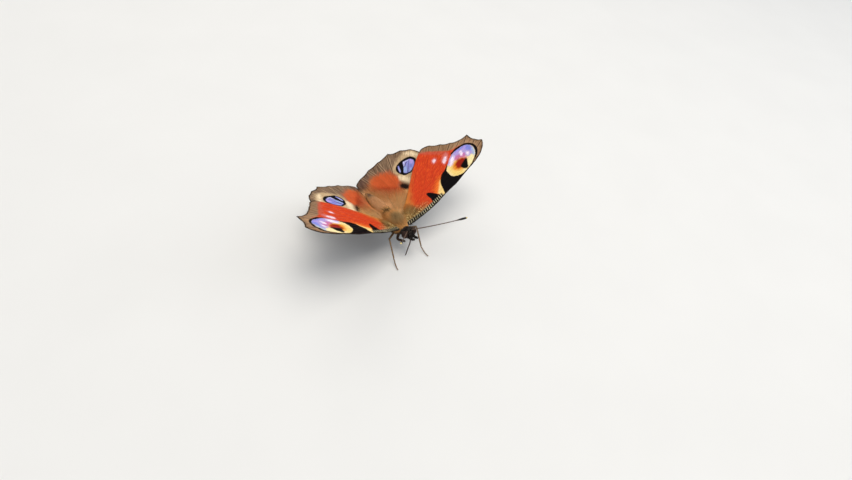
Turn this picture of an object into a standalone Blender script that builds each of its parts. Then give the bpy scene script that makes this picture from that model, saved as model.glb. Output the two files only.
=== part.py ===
"""Peacock butterfly (Aglais io), life size, standing on four legs with its wings half spread.

Lengths are in millimetres up to the last step, which writes metres. The butterfly faces -Y, its left
side is +X, the floor is z = 0. A wing is drawn flat, x outwards and y forwards from its hinge, and is
then swept, raised and twisted about that hinge.
"""

import math
from dataclasses import dataclass

import bmesh
import bpy
import numpy as np
from mathutils import Vector
from mathutils.geometry import delaunay_2d_cdt

MM = 0.001
GAP = 0.3  # between two pieces that meet
FINE_GAP = 0.2  # round the eyes, palps, tongue and feelers
# Middle of the thorax over the floor, off centre so that the whole spread is centred
BODY_CENTRE = np.array([-0.70, -3.11, 6.40])

WING_THICKNESS = 0.5
ROOT_THICKNESS = 1.1  # at the hinge, falling to the wing's own thickness
ROOT_REACH = 2.2
VEIN_HEIGHT = 0.13  # raised over each face
VEIN_FOOT = 0.42  # half the width of a vein's ridge
VEIN_STEP = 1.5
MARGIN_STEP = 0.9
FIELD_STEP = 1.9
FOREWING_CAMBER = 0.55
GUTTER_DEPTH = 0.7  # how far the hindwing turns down along the abdomen
TUCK_CLEARANCE = 1.22  # hindwing's middle surface under the forewing's
LEG_RADIUS = 0.27
FOOT_RADIUS = 0.42

# (y, half width, half height, height of the middle) along the body, front to back
THORAX = (
    (-3.4, 1.15, 1.15, 0.50),
    (-2.6, 1.80, 1.75, 0.25),
    (-1.4, 2.25, 2.20, 0.08),
    (0.0, 2.45, 2.40, 0.00),
    (1.4, 2.35, 2.30, 0.00),
    (2.5, 1.95, 1.95, 0.05),
    (3.3, 1.50, 1.50, 0.10),
)
ABDOMEN = (
    (3.6, 1.35, 1.30, 0.10),
    (4.6, 1.72, 1.62, 0.05),
    (6.2, 1.85, 1.75, -0.05),
    (8.4, 1.75, 1.66, -0.15),
    (10.4, 1.42, 1.36, -0.22),
    (12.0, 0.98, 0.96, -0.22),
    (13.1, 0.45, 0.50, -0.18),
)
ABDOMEN_SEGMENTS = 8
HEAD = (
    (-6.25, 0.55, 0.50, 0.75),
    (-6.0, 0.95, 0.85, 0.80),
    (-5.4, 1.35, 1.22, 0.90),
    (-4.75, 1.50, 1.34, 0.95),
    (-4.2, 1.35, 1.22, 0.85),
    (-3.7, 1.05, 1.00, 0.65),
)
EYE_CENTRE = (1.42, -5.05, 1.00)
EYE_RADII = (0.78, 0.92, 1.02)


@dataclass(frozen=True)
class Plan:
    """A wing drawn flat: its outline as arcs from point to point, each with its rise, and its veins."""

    outline: tuple
    veins: tuple


@dataclass(frozen=True)
class Pose:
    """Where a wing sits: its hinge from the thorax's middle (out, forward, up) and angles in degrees."""

    hinge: tuple
    sweep: float
    dihedral: float
    twist: float


FOREWING = Plan(
    outline=(
        (-1.3, 1.0, 0.3),
        (6.8, 6.9, -0.12),
        (13.0, 10.3, 0.0),
        (18.7, 12.85, 0.12),
        (23.2, 14.75, 0.08),
        (25.6, 15.0, 0.18),
        (28.3, 14.4, -0.15),
        (28.1, 12.4, -0.28),
        (29.2, 9.95, -0.1),
        (27.1, 8.3, -0.15),
        (25.7, 5.9, -0.13),
        (24.7, 3.2, -0.13),
        (23.8, 0.4, 0.3),
        (21.9, -1.7, 0.2),
        (13.0, -2.1, -0.08),
        (4.0, -1.7, 0.0),
        (-1.3, -1.1, 0.0),
    ),
    veins=(
        ((0.2, 0.9), (6.6, 5.6), (13.0, 10.3)),
        ((0.4, 0.7), (6.6, 4.4), (9.5, 6.1), (12.0, 7.35), (13.2, 7.9)),
        ((9.5, 6.1), (14.0, 9.6), (18.7, 12.85)),
        ((12.0, 7.35), (17.0, 10.9), (23.2, 14.75)),
        ((13.2, 7.9), (17.5, 10.0), (24.5, 13.2), (28.3, 14.4)),
        ((17.5, 10.0), (23.0, 11.6), (28.1, 12.4)),
        ((13.2, 7.9), (13.7, 7.0), (20.0, 9.1), (29.2, 9.95)),
        ((13.7, 7.0), (13.9, 5.8), (20.0, 7.1), (27.1, 8.3)),
        ((13.9, 5.8), (13.4, 4.3), (19.0, 5.3), (25.7, 5.9)),
        ((0.5, 0.2), (5.6, 1.3), (8.6, 2.2), (11.6, 3.4), (13.4, 4.3)),
        ((11.6, 3.4), (18.0, 3.6), (24.7, 3.2)),
        ((8.6, 2.2), (16.0, 1.5), (23.8, 0.4)),
        ((0.4, -0.3), (10.0, -0.7), (21.9, -1.7)),
    ),
)
HINDWING = Plan(
    outline=(
        (-1.2, 0.5, 0.2),
        (3.0, 2.3, 0.3),
        (8.0, 3.1, 0.35),
        (14.0, 1.5, 0.4),
        (19.3, -2.2, 0.15),
        (20.2, -3.6, 0.1),
        (20.1, -6.2, -0.08),
        (18.9, -8.8, -0.08),
        (17.3, -10.5, -0.12),
        (16.9, -12.2, -0.1),
        (15.3, -12.6, -0.12),
        (13.3, -13.6, -0.1),
        (10.2, -14.85, -0.1),
        (7.4, -15.6, 0.2),
        (5.3, -16.0, 0.05),
        (4.4, -14.2, 0.0),
        (3.4, -12.0, 0.0),
        (1.2, -4.4, 0.0),
        (-1.2, -1.6, 0.0),
    ),
    veins=(
        ((0.3, 0.3), (5.0, 1.8), (12.0, 1.2), (19.3, -2.2)),
        ((0.4, 0.0), (6.6, -0.3), (13.2, -1.6), (20.2, -3.6)),
        ((6.6, -0.3), (8.0, -1.3), (13.7, -3.6), (20.1, -6.2)),
        ((8.0, -1.3), (8.3, -3.0), (13.2, -5.8), (18.9, -8.8)),
        ((8.3, -3.0), (7.8, -4.6), (12.2, -8.2), (16.9, -12.2)),
        ((7.8, -4.6), (10.7, -9.2), (13.3, -13.6)),
        ((0.4, -0.5), (3.4, -2.4), (5.6, -3.7), (7.8, -4.6)),
        ((5.6, -3.7), (8.4, -9.6), (10.2, -14.85)),
        ((0.3, -1.0), (4.6, -7.0), (7.4, -15.6)),
    ),
)
FOREWING_POSES = {
    "left": Pose((2.3, 1.6, 1.5), -38.6, 19.1, 11.9),
    "right": Pose((2.3, 1.6, 1.5), -27.8, 23.9, 19.6),
}
HINDWING_POSES = {
    "left": Pose((2.2, -1.2, 0.9), -28.1, 22.7, 13.3),
    "right": Pose((2.2, -1.2, 0.9), -26.2, 17.8, 12.6),
}
SIDES = {"left": 1.0, "right": -1.0}

# A leg's joints from the thorax's middle: (out, forward, up) at the hip, knee, ankle and toe
LEGS = {
    "leg_mid_left": ((0.9, 0.9, -1.5), (4.3, 3.4, -0.6), (3.9, 6.9, -5.0), (4.2, 9.4, -6.1)),
    "leg_mid_right": ((0.9, 0.9, -1.5), (4.6, 3.0, -0.6), (5.0, 6.3, -5.0), (5.6, 8.7, -6.1)),
    "leg_hind_left": ((0.9, -0.9, -1.6), (4.6, -3.4, -1.1), (5.9, -7.4, -5.1), (6.5, -10.2, -6.1)),
    "leg_hind_right": ((0.9, -0.9, -1.6), (4.7, -3.6, -1.35), (5.7, -7.8, -5.1), (6.1, -10.6, -6.1)),
}
FORELEG = ((0.6, 2.2, -1.2), (1.45, 3.0, -2.3), (1.0, 4.9, -1.75))
ANTENNAE = {  # root, direction, length, droop of the middle
    "left": ((0.50, 4.9, 1.75), (0.755, 0.540, 0.370), 15.0, 0.35),
    "right": ((0.50, 4.9, 1.75), (0.660, 0.510, 0.560), 15.1, 0.35),
}
PALP = ((0.56, 5.5, 0.62), (0.66, 6.7, 0.62), (0.56, 7.9, 1.30))
TONGUE = ((0.0, 5.2, -0.05), (0.0, 5.9, -0.55), (-0.1, 6.2, -1.6), (-0.45, 6.25, -3.6), (-0.9, 6.3, -6.1))


def colour_material(name, colour, roughness):
    """A plain material of one colour."""
    material = bpy.data.materials.new(name)
    material.use_nodes = True
    shader = next(n for n in material.node_tree.nodes if n.type == "BSDF_PRINCIPLED")
    shader.inputs["Base Color"].default_value = (*colour, 1.0)
    shader.inputs["Roughness"].default_value = roughness
    shader.inputs["Metallic"].default_value = 0.0
    return material


def to_row(points, side):
    """(out, forward, up) from the thorax's middle to the part's own frame."""
    points = np.asarray(points, float)
    return np.stack([side * points[..., 0], -points[..., 1], points[..., 2]], -1) + BODY_CENTRE


def make_object(name, points, faces, material, smooth=True):
    """A mesh object from points in millimetres of the part's frame."""
    mesh = bpy.data.meshes.new(name)
    mesh.from_pydata([tuple(p * MM) for p in np.asarray(points, float)], [], faces)
    shell = bmesh.new()
    shell.from_mesh(mesh)
    bmesh.ops.recalc_face_normals(shell, faces=shell.faces)
    shell.to_mesh(mesh)
    shell.free()
    if smooth:
        mesh.shade_smooth()
        mesh.set_sharp_from_angle(angle=math.radians(50))
    mesh.materials.append(material)
    obj = bpy.data.objects.new(name, mesh)
    bpy.context.scene.collection.objects.link(obj)
    return obj


def spline(points, count):
    """A smooth curve through the points (Catmull-Rom), with `count` spans between each two."""
    p = np.asarray(points, float)
    p = np.vstack([2 * p[0] - p[1], p, 2 * p[-1] - p[-2]])
    rows = []
    for i in range(1, len(p) - 2):
        for t in np.arange(count) / count:
            a, b, c, d = p[i - 1 : i + 3]
            rows.append(
                0.5 * (2 * b + (c - a) * t + (2 * a - 5 * b + 4 * c - d) * t**2 + (3 * b - a - 3 * c + d) * t**3)
            )
    return np.array(rows + [p[-2]])


def loft(rings):
    """Points and faces of a closed body from rings of equal count."""
    count, sides = len(rings), len(rings[0])
    faces = [
        (i * sides + j, i * sides + (j + 1) % sides, (i + 1) * sides + (j + 1) % sides, (i + 1) * sides + j)
        for i in range(count - 1)
        for j in range(sides)
    ]
    faces += [tuple(range(sides))[::-1], tuple(range((count - 1) * sides, count * sides))]
    return np.concatenate(rings), faces


def body_rings(profile, sides, spans, grow=0.0, segments=0):
    """Rings across Y from a profile of (y, half width, half height, middle)."""
    table = spline(profile, spans)
    first, last = table[0, 0], table[-1, 0]
    angle = np.arange(sides) * 2 * math.pi / sides
    rings = []
    for y, wide, high, middle in table:
        step = 1.0
        if segments:
            u = (y - first) / (last - first) * segments
            step = 1.0 + 0.045 * ((u % 1.0) - 0.5) * min(1.0, u)
        y += grow * np.clip((y - (first + last) / 2) / ((last - first) / 2), -1, 1) if grow else 0.0
        rings.append(
            np.stack(
                [
                    (wide * step + grow) * np.cos(angle),
                    np.full(sides, y),
                    middle + (high * step + grow) * np.sin(angle),
                ],
                -1,
            )
            + BODY_CENTRE
        )
    return rings


def tube_rings(path, radii, sides=8):
    """Rings round a path, turned as little as possible from one to the next."""
    path = np.asarray(path, float)
    tangents = np.gradient(path, axis=0)
    tangents /= np.linalg.norm(tangents, axis=1, keepdims=True)
    normal = np.cross(tangents[0], [0.0, 0.0, 1.0] if abs(tangents[0][2]) < 0.9 else [1.0, 0.0, 0.0])
    rings = []
    angle = np.arange(sides) * 2 * math.pi / sides
    for centre, tangent, radius in zip(path, tangents, radii):
        normal = normal - tangent * (normal @ tangent)
        normal /= np.linalg.norm(normal)
        side = np.cross(tangent, normal)
        rings.append(centre + radius * (np.cos(angle)[:, None] * normal + np.sin(angle)[:, None] * side))
    return rings


def ellipsoid(name, centre, radii, material, grow=0.0, rows=8, sides=14):
    """A closed ellipsoid round its X axis' poles, in the part's frame."""
    shell = bmesh.new()
    bmesh.ops.create_uvsphere(shell, u_segments=sides, v_segments=rows, radius=1.0)
    points = np.array([v.co[:] for v in shell.verts])[:, [2, 0, 1]]
    points = points * (np.asarray(radii) + grow) + centre
    faces = [tuple(v.index for v in f.verts) for f in shell.faces]
    shell.free()
    return make_object(name, points, faces, material)


def largest_body(obj):
    """Applies the object's modifiers and keeps the largest of its closed surfaces."""
    graph = bpy.context.evaluated_depsgraph_get()
    mesh = bpy.data.meshes.new_from_object(obj.evaluated_get(graph))
    obj.modifiers.clear()
    shell = bmesh.new()
    shell.from_mesh(mesh)
    unseen, bodies = set(shell.verts), []
    while unseen:
        stack, body = [unseen.pop()], []
        while stack:
            vertex = stack.pop()
            body.append(vertex)
            for edge in vertex.link_edges:
                other = edge.other_vert(vertex)
                if other in unseen:
                    unseen.remove(other)
                    stack.append(other)
        bodies.append(body)
    bodies.sort(key=len)
    loose = [v for body in bodies[:-1] for v in body]
    bmesh.ops.delete(shell, geom=loose, context="VERTS")
    bmesh.ops.dissolve_degenerate(shell, dist=2e-6, edges=shell.edges)
    shell.to_mesh(mesh)
    shell.free()
    obj.data = mesh


def cut(obj, cutters):
    """Takes the cutters out of the object, one after the other."""
    for cutter in cutters:
        modifier = obj.modifiers.new("cut", "BOOLEAN")
        modifier.operation = "DIFFERENCE"
        modifier.solver = "EXACT"
        modifier.object = cutter
    bpy.context.view_layer.update()
    largest_body(obj)


def hidden(obj):
    """The object, kept out of sight as a tool for cuts."""
    obj.hide_render = True
    obj.display_type = "WIRE"
    return obj


# Wings


def outline_points(plan):
    """The outline's arcs as points."""
    corners = np.array(plan.outline)
    rows = []
    for (x0, y0, rise), (x1, y1, _) in zip(corners, np.roll(corners, -1, axis=0)):
        chord = np.array([x1 - x0, y1 - y0])
        length = np.linalg.norm(chord)
        outward = np.array([-chord[1], chord[0]]) / length
        steps = max(1, round(length / MARGIN_STEP))
        for t in np.arange(steps) / steps:
            rows.append(np.array([x0, y0]) + chord * t + outward * rise * 4 * t * (1 - t))
    return np.array(rows)


def resampled(points, step):
    """The smooth curve through the points at even steps."""
    points = spline(points, 6)
    run = np.concatenate([[0], np.cumsum(np.linalg.norm(np.diff(points, axis=0), axis=1))])
    at = np.linspace(0, run[-1], max(2, round(run[-1] / step)) + 1)
    return np.stack([np.interp(at, run, points[:, k]) for k in (0, 1)], -1)


def vein_lines(plan):
    """Each vein as (middle line, its two foot lines), all three sharing their ends."""
    lines = []
    for vein in plan.veins:
        middle = resampled(vein, VEIN_STEP)
        along = np.gradient(middle, axis=0)
        across = np.stack([-along[:, 1], along[:, 0]], -1) / np.linalg.norm(along, axis=1, keepdims=True)
        width = np.full(len(middle), VEIN_FOOT)
        width[[0, -1]] = 0.0
        feet = [middle + across * (sign * width)[:, None] for sign in (1, -1)]
        lines.append((middle, *feet))
    return lines


def distance_to(points, line):
    """Shortest distance from each point to a polyline."""
    best = np.full(len(points), np.inf)
    for a, b in zip(line[:-1], line[1:]):
        along = b - a
        t = np.clip(((points - a) @ along) / max(along @ along, 1e-12), 0, 1)
        best = np.minimum(best, np.linalg.norm(points - a - t[:, None] * along, axis=1))
    return best


def inside(points, outline):
    """Whether each point lies within the closed outline."""
    x, y = points.T
    found = np.zeros(len(points), bool)
    for (x0, y0), (x1, y1) in zip(outline, np.roll(outline, -1, axis=0)):
        crosses = (y0 > y) != (y1 > y)
        with np.errstate(divide="ignore", invalid="ignore"):
            found ^= crosses & (x < (x1 - x0) * (y - y0) / (y1 - y0) + x0)
    return found


def flat_wing(plan):
    """The plan in triangles that follow its outline and veins: points, triangles, ridge height."""
    outline = outline_points(plan)
    veins = vein_lines(plan)
    points, edges = [*outline], [(i, (i + 1) % len(outline)) for i in range(len(outline))]
    for lines in veins:
        for line in lines:
            start = len(points)
            points += [*line]
            edges += [(start + i, start + i + 1) for i in range(len(line) - 1)]
    every_line = [line for lines in veins for line in lines] + [np.vstack([outline, outline[:1]])]
    low, high = outline.min(axis=0), outline.max(axis=0)
    field = [
        (x + (row % 2) * FIELD_STEP / 2, y)
        for row, y in enumerate(np.arange(low[1], high[1], FIELD_STEP * 0.87))
        for x in np.arange(low[0], high[0], FIELD_STEP)
    ]
    field = np.array(field)
    clear = inside(field, outline) & (np.min([distance_to(field, line) for line in every_line], axis=0) > 0.8)
    points += [*field[clear]]
    made = delaunay_2d_cdt([Vector(p) for p in points], edges, [], 0, 1e-4)
    flat = np.array([v[:] for v in made[0]])
    triangles = np.array(made[2])
    triangles = triangles[inside(flat[triangles].mean(axis=1), outline)]
    a, b, c = (flat[triangles[:, k]] for k in range(3))
    turn = (b - a)[:, 0] * (c - a)[:, 1] - (b - a)[:, 1] * (c - a)[:, 0]
    triangles = triangles[np.abs(turn) > 1e-5]
    turn = turn[np.abs(turn) > 1e-5]
    triangles[turn < 0] = triangles[turn < 0][:, ::-1]
    used = np.unique(triangles)
    index = np.full(len(flat), -1)
    index[used] = np.arange(len(used))
    flat, triangles = flat[used], index[triangles]
    near = np.min([distance_to(flat, lines[0]) for lines in veins], axis=0)
    return flat, triangles, VEIN_HEIGHT * np.clip(1 - near / VEIN_FOOT, 0, 1)


def turned(pose):
    """The wing's rotation: sweep about up, then dihedral, then twist."""
    s, d, t = (math.radians(v) for v in (pose.sweep, -pose.dihedral, pose.twist))
    about_z = np.array([[math.cos(s), -math.sin(s), 0], [math.sin(s), math.cos(s), 0], [0, 0, 1]])
    about_y = np.array([[math.cos(d), 0, math.sin(d)], [0, 1, 0], [-math.sin(d), 0, math.cos(d)]])
    about_x = np.array([[1, 0, 0], [0, math.cos(t), -math.sin(t)], [0, math.sin(t), math.cos(t)]])
    return about_z @ about_y @ about_x


def smooth_step(value, low, high):
    """0 below low, 1 above high and a smooth rise between."""
    t = np.clip((value - low) / (high - low), 0, 1)
    return t * t * (3 - 2 * t)


def forewing_height(flat):
    """A shallow arch along the span, deepest towards the inner margin."""
    span = np.clip(flat[:, 0] / 26.0, 0, 1)
    behind = np.clip((10.0 - flat[:, 1]) / 12.0, 0, 1.2)
    return FOREWING_CAMBER * 4 * span * (1 - span) * behind


def forewing_surface(flat, pose):
    """The forewing's middle surface in its pose."""
    local = np.column_stack([flat, forewing_height(flat)])
    return local @ turned(pose).T + pose.hinge


def hindwing_surface(flat, pose, fore):
    """The hindwing's middle surface, turned down along the abdomen and tucked under the forewing in front."""
    x, y = flat.T
    gutter = GUTTER_DEPTH * smooth_step(1.6 - (x + 0.38 * y), 0, 2.2)
    gutter *= smooth_step(-y, 3.0, 7.0) * (1 - smooth_step(-y, 12.0, 16.0))
    points = np.column_stack([flat, -gutter]) @ turned(pose).T + pose.hinge
    local = (points - fore.hinge) @ turned(fore)
    over = local[:, 2] - forewing_height(local[:, :2]) + TUCK_CLEARANCE
    soft = 0.5 * (over + np.sqrt(over**2 + 0.04))
    local[:, 2] -= soft * smooth_step(local[:, 1], -6.5, -3.2)
    return local @ turned(fore).T + fore.hinge


def wing(name, plan, surface, side, material):
    """A closed wing: the same triangles on both faces, thicker at the root, with the veins raised on both."""
    flat, triangles, ridge = flat_wing(plan)
    step = 0.05
    middle = surface(flat)
    normals = np.cross(surface(flat + [step, 0]) - middle, surface(flat + [0, step]) - middle)
    normals /= np.linalg.norm(normals, axis=1, keepdims=True)
    root = np.exp(-(np.linalg.norm(flat, axis=1) / ROOT_REACH) ** 2)
    half = WING_THICKNESS / 2 + (ROOT_THICKNESS - WING_THICKNESS) / 2 * root + ridge
    count = len(flat)
    points = np.vstack([middle + normals * half[:, None], middle - normals * half[:, None]])
    ends = np.concatenate([triangles[:, [0, 1]], triangles[:, [1, 2]], triangles[:, [2, 0]]])
    seen = {tuple(e) for e in ends}
    rim = [(a, b) for a, b in ends if (b, a) not in seen]
    faces = [tuple(t) for t in triangles] + [tuple(t[::-1] + count) for t in triangles]
    faces += [(b, a, a + count) for a, b in rim] + [(b, a + count, b + count) for a, b in rim]
    faces = [tuple(int(i) for i in face) for face in faces]
    return make_object(name, to_row(points, side), faces, material)


# Body


def limb(name, joints, side, radii, material, sides=8, spans=3):
    """A tube through the joints, lying no lower than the floor, where it has its flat."""
    path = spline(to_row(joints, side), spans)
    at = np.linspace(0, len(radii) - 1, len(path))
    radii = np.interp(at, np.arange(len(radii)), radii)
    points, faces = loft(tube_rings(path, radii, sides))
    points[:, 2] = np.maximum(points[:, 2], 0.0)
    return make_object(name, points, faces, material)


def leg(name, joints, side, material):
    """Hip, thigh, shin and foot as one jointed limb, with a small flat pad under the toe."""
    hip, knee, ankle, toe = to_row(joints, side)
    stations, radii = [], []

    def stretch(a, b, profile):
        for t, radius in profile:
            stations.append(a + (b - a) * t)
            radii.append(radius)

    stretch(hip, knee, ((0.0, 0.5), (0.3, 0.42), (0.7, 0.34), (0.95, LEG_RADIUS)))
    stretch(knee, ankle, ((0.06, LEG_RADIUS + 0.02), (0.5, LEG_RADIUS), (0.95, LEG_RADIUS)))
    foot = toe.copy()
    foot[2] = LEG_RADIUS
    before = ankle + (foot - ankle) * 0.55
    before[2] = LEG_RADIUS + 0.35
    stretch(ankle, before, ((0.1, LEG_RADIUS - 0.01), (0.9, LEG_RADIUS - 0.01)))
    stretch(before, foot, ((0.45, LEG_RADIUS), (0.75, FOOT_RADIUS * 0.8), (1.0, FOOT_RADIUS)))
    beyond = foot + (foot - before) / np.linalg.norm(foot - before) * 0.35
    beyond[2] = LEG_RADIUS
    stretch(foot, beyond, ((1.0, FOOT_RADIUS * 0.8),))
    points, faces = loft(tube_rings(stations, radii, 8))
    points[:, 2] = np.where(points[:, 2] < 0.12, 0.0, points[:, 2])
    return make_object(name, points, faces, material)


def antenna(name, root, direction, length, droop, side, material):
    """A slender shaft that swells into a flattened club at its tip."""
    direction = np.asarray(direction) / np.linalg.norm(direction)
    u = np.concatenate([np.linspace(0, 0.82, 10), [0.86, 0.9, 0.94, 0.975, 1.0]])
    path = np.asarray(root) + direction * length * u[:, None]
    path[:, 2] += droop * 4 * u * (1 - u) * -1
    club = smooth_step(u, 0.84, 0.93) * np.sqrt(np.clip((1.018 - u) / 0.07, 0, 1))
    radii = np.maximum(0.25 + 0.02 * (u < 0.05), 0.25 + 0.24 * club)
    points, faces = loft(tube_rings(to_row(path, side), radii, 8))
    return make_object(name, points, faces, material)


def main():
    for obj in list(bpy.data.objects):
        bpy.data.objects.remove(obj)
    hair = colour_material("thorax_hair", (0.20, 0.10, 0.04), 0.85)
    belly = colour_material("abdomen_hair", (0.13, 0.06, 0.035), 0.8)
    dark = colour_material("face_hair", (0.03, 0.02, 0.015), 0.85)
    eyes = colour_material("eye", (0.035, 0.02, 0.015), 0.25)
    feeler = colour_material("antenna", (0.03, 0.02, 0.015), 0.5)
    limbs = colour_material("leg", (0.13, 0.08, 0.045), 0.6)
    fore = colour_material("forewing", (0.55, 0.07, 0.02), 0.7)
    hind = colour_material("hindwing", (0.36, 0.09, 0.03), 0.7)

    points, faces = loft(body_rings(THORAX, 20, 2))
    thorax = make_object("thorax", points, faces, hair)
    points, faces = loft(body_rings(ABDOMEN, 18, 3, segments=ABDOMEN_SEGMENTS))
    make_object("abdomen", points, faces, belly)
    points, faces = loft(body_rings(HEAD, 18, 2))
    head = make_object("head", points, faces, dark)

    grown = loft(body_rings(THORAX, 20, 2, grow=GAP))
    thorax_clear = hidden(make_object("thorax_clear", *grown, hair, smooth=False))
    grown = loft(body_rings(ABDOMEN, 18, 2, grow=GAP))
    abdomen_clear = hidden(make_object("abdomen_clear", *grown, hair, smooth=False))
    grown = loft(body_rings(HEAD, 18, 2, grow=FINE_GAP))
    head_clear = hidden(make_object("head_clear", *grown, hair, smooth=False))
    eyes_clear = []
    for label, side in SIDES.items():
        centre = np.array([side * EYE_CENTRE[0], EYE_CENTRE[1], EYE_CENTRE[2]]) + BODY_CENTRE
        ellipsoid(f"eye_{label}", centre, EYE_RADII, eyes)
        eyes_clear.append(hidden(ellipsoid(f"eye_{label}_clear", centre, EYE_RADII, eyes, grow=FINE_GAP)))
    cut(head, eyes_clear)

    for label, side in SIDES.items():
        fore_pose, hind_pose = FOREWING_POSES[label], HINDWING_POSES[label]
        made = wing(f"forewing_{label}", FOREWING, lambda p: forewing_surface(p, fore_pose), side, fore)
        cut(made, [thorax_clear])
        tucked = lambda p: hindwing_surface(p, hind_pose, fore_pose)
        made = wing(f"hindwing_{label}", HINDWING, tucked, side, hind)
        cut(made, [thorax_clear, abdomen_clear])
        made = limb(f"palp_{label}", PALP, side, (0.34, 0.42, 0.40, 0.27), dark)
        cut(made, [head_clear, *eyes_clear])
        made = limb(f"leg_fore_{label}", FORELEG, side, (0.42, 0.36, 0.34, 0.27), limbs)
        cut(made, [thorax_clear])
        root, direction, length, droop = ANTENNAE[label]
        made = antenna(f"antenna_{label}", root, direction, length, droop, side, feeler)
        cut(made, [head_clear, *eyes_clear])
    made = limb("proboscis", TONGUE, 1.0, (0.30, 0.28, 0.26, 0.25, 0.25), feeler)
    cut(made, [head_clear, *eyes_clear])
    for name, joints in LEGS.items():
        made = leg(name, joints, SIDES[name.rsplit("_", 1)[1]], limbs)
        cut(made, [thorax_clear])

    for obj in [thorax_clear, abdomen_clear, head_clear, *eyes_clear]:
        bpy.data.objects.remove(obj)


if __name__ == "__main__":
    main()
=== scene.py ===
"""Looks of a peacock butterfly (Aglais io) that stands with half-spread wings, built round its solids.

Lengths are in millimetres up to the meshes, which are in metres. The butterfly faces -Y, its left side
is +X and the floor is z = 0. A wing is drawn flat, x outwards and y forwards from its hinge, and is then
swept, raised and twisted about that hinge, as in the part's source. Colours are sRGB, 0 to 255.
"""

import logging
import math
from dataclasses import dataclass, field
from enum import Enum

import bpy
import numpy as np
from mathutils import Matrix, Vector


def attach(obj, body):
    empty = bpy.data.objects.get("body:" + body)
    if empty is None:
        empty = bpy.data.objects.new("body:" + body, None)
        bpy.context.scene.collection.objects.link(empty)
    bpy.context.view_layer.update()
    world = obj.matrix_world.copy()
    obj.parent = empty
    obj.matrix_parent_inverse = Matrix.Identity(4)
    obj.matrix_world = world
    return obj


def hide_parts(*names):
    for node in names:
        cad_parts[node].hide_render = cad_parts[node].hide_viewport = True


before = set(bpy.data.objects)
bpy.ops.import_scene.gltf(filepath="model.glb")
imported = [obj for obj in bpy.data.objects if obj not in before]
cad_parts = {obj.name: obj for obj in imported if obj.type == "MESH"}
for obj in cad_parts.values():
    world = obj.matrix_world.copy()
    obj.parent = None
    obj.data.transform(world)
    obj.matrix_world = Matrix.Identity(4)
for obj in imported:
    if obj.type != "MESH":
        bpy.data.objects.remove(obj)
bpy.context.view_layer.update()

LOG = logging.getLogger("peacock_butterfly")

MM = 0.001
BODY_CENTRE = np.array([-0.70, -3.11, 6.40])  # middle of the thorax
SIDES = {"left": 1.0, "right": -1.0}
SEED = 20
OFBAKE = "OFBake"
PATCH = 0.0015  # half the side of a tuft's patch on its map

Colour = tuple[float, float, float]
Outline = tuple[tuple[float, float], ...]


class Coating(Enum):
    """What a wing's paint is for: scales of the upper side, hair on it, or scales of the under side."""

    SCALES = "scales"
    HAIR = "hair"
    UNDER = "under"


def linear(colour: Colour) -> tuple[float, float, float, float]:
    """Returns an sRGB colour, 0 to 255, as the linear one with alpha that a node takes."""
    share = np.asarray(colour, float) / 255
    low, high = share / 12.92, ((share + 0.055) / 1.055) ** 2.4
    return (*np.where(share <= 0.04045, low, high).tolist(), 1.0)


def smooth_step(value: np.ndarray, low: float, high: float) -> np.ndarray:
    """Returns 0 below low, 1 above high and 3t^2 - 2t^3 between them."""
    t = np.clip((value - low) / (high - low), 0, 1)
    return t * t * (3 - 2 * t)


def unit(vectors: np.ndarray) -> np.ndarray:
    """Returns the vectors at length one."""
    return vectors / np.maximum(np.linalg.norm(vectors, axis=-1, keepdims=True), 1e-12)


def spline(points: np.ndarray, count: int, closed: bool = False) -> np.ndarray:
    """A smooth curve through points, the Catmull-Rom cubic of each four in a row.

    Args:
        points: The points that it passes, one a row.
        count: Spans between each two points.
        closed: Whether the last point leads back to the first.

    Returns:
        The curve's points.
    """
    p = np.asarray(points, float)
    ends = (p[-1:], p[:2]) if closed else (2 * p[:1] - p[1:2], 2 * p[-1:] - p[-2:-1])
    p = np.vstack([ends[0], p, ends[1]])
    t = (np.arange(count) / count)[None, :, None]
    a, b, c, d = (p[k : len(p) - 3 + k][:, None] for k in range(4))
    curve = 0.5 * (2 * b + (c - a) * t + (2 * a - 5 * b + 4 * c - d) * t**2 + (3 * b - a - 3 * c + d) * t**3)
    curve = curve.reshape(-1, p.shape[1])
    return curve if closed else np.vstack([curve, p[-2:-1]])


def segment_distance(points: np.ndarray, starts: np.ndarray, ends: np.ndarray) -> np.ndarray:
    """Returns each point's distance to the nearest of the segments from starts to ends."""
    best = np.full(len(points), np.inf)
    for a, b in zip(starts, ends):
        along = b - a
        t = np.clip(((points - a) @ along) / max(along @ along, 1e-12), 0, 1)
        gap = points - a - t[:, None] * along
        best = np.minimum(best, np.einsum("ij,ij->i", gap, gap))
    return np.sqrt(best)


def inside(points: np.ndarray, outline: np.ndarray) -> np.ndarray:
    """Returns whether a ray from each point crosses the closed outline an odd number of times."""
    x, y = points.T
    found = np.zeros(len(points), bool)
    for (x0, y0), (x1, y1) in zip(outline, np.roll(outline, -1, axis=0)):
        if y0 != y1:
            found ^= ((y0 > y) != (y1 > y)) & (x < (x1 - x0) * (y - y0) / (y1 - y0) + x0)
    return found


def depth_in(points: np.ndarray, outlines: tuple[Outline, ...]) -> np.ndarray:
    """Returns how deep each point lies in the deepest of the rounded outlines, and less than 0 outside."""
    best = np.full(len(points), -np.inf)
    for outline in outlines:
        ring = spline(np.array(outline), 4, closed=True)
        gap = segment_distance(points, ring, np.roll(ring, -1, axis=0))
        best = np.maximum(best, np.where(inside(points, ring), gap, -gap))
    return np.clip(best, -4, 4)


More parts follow.
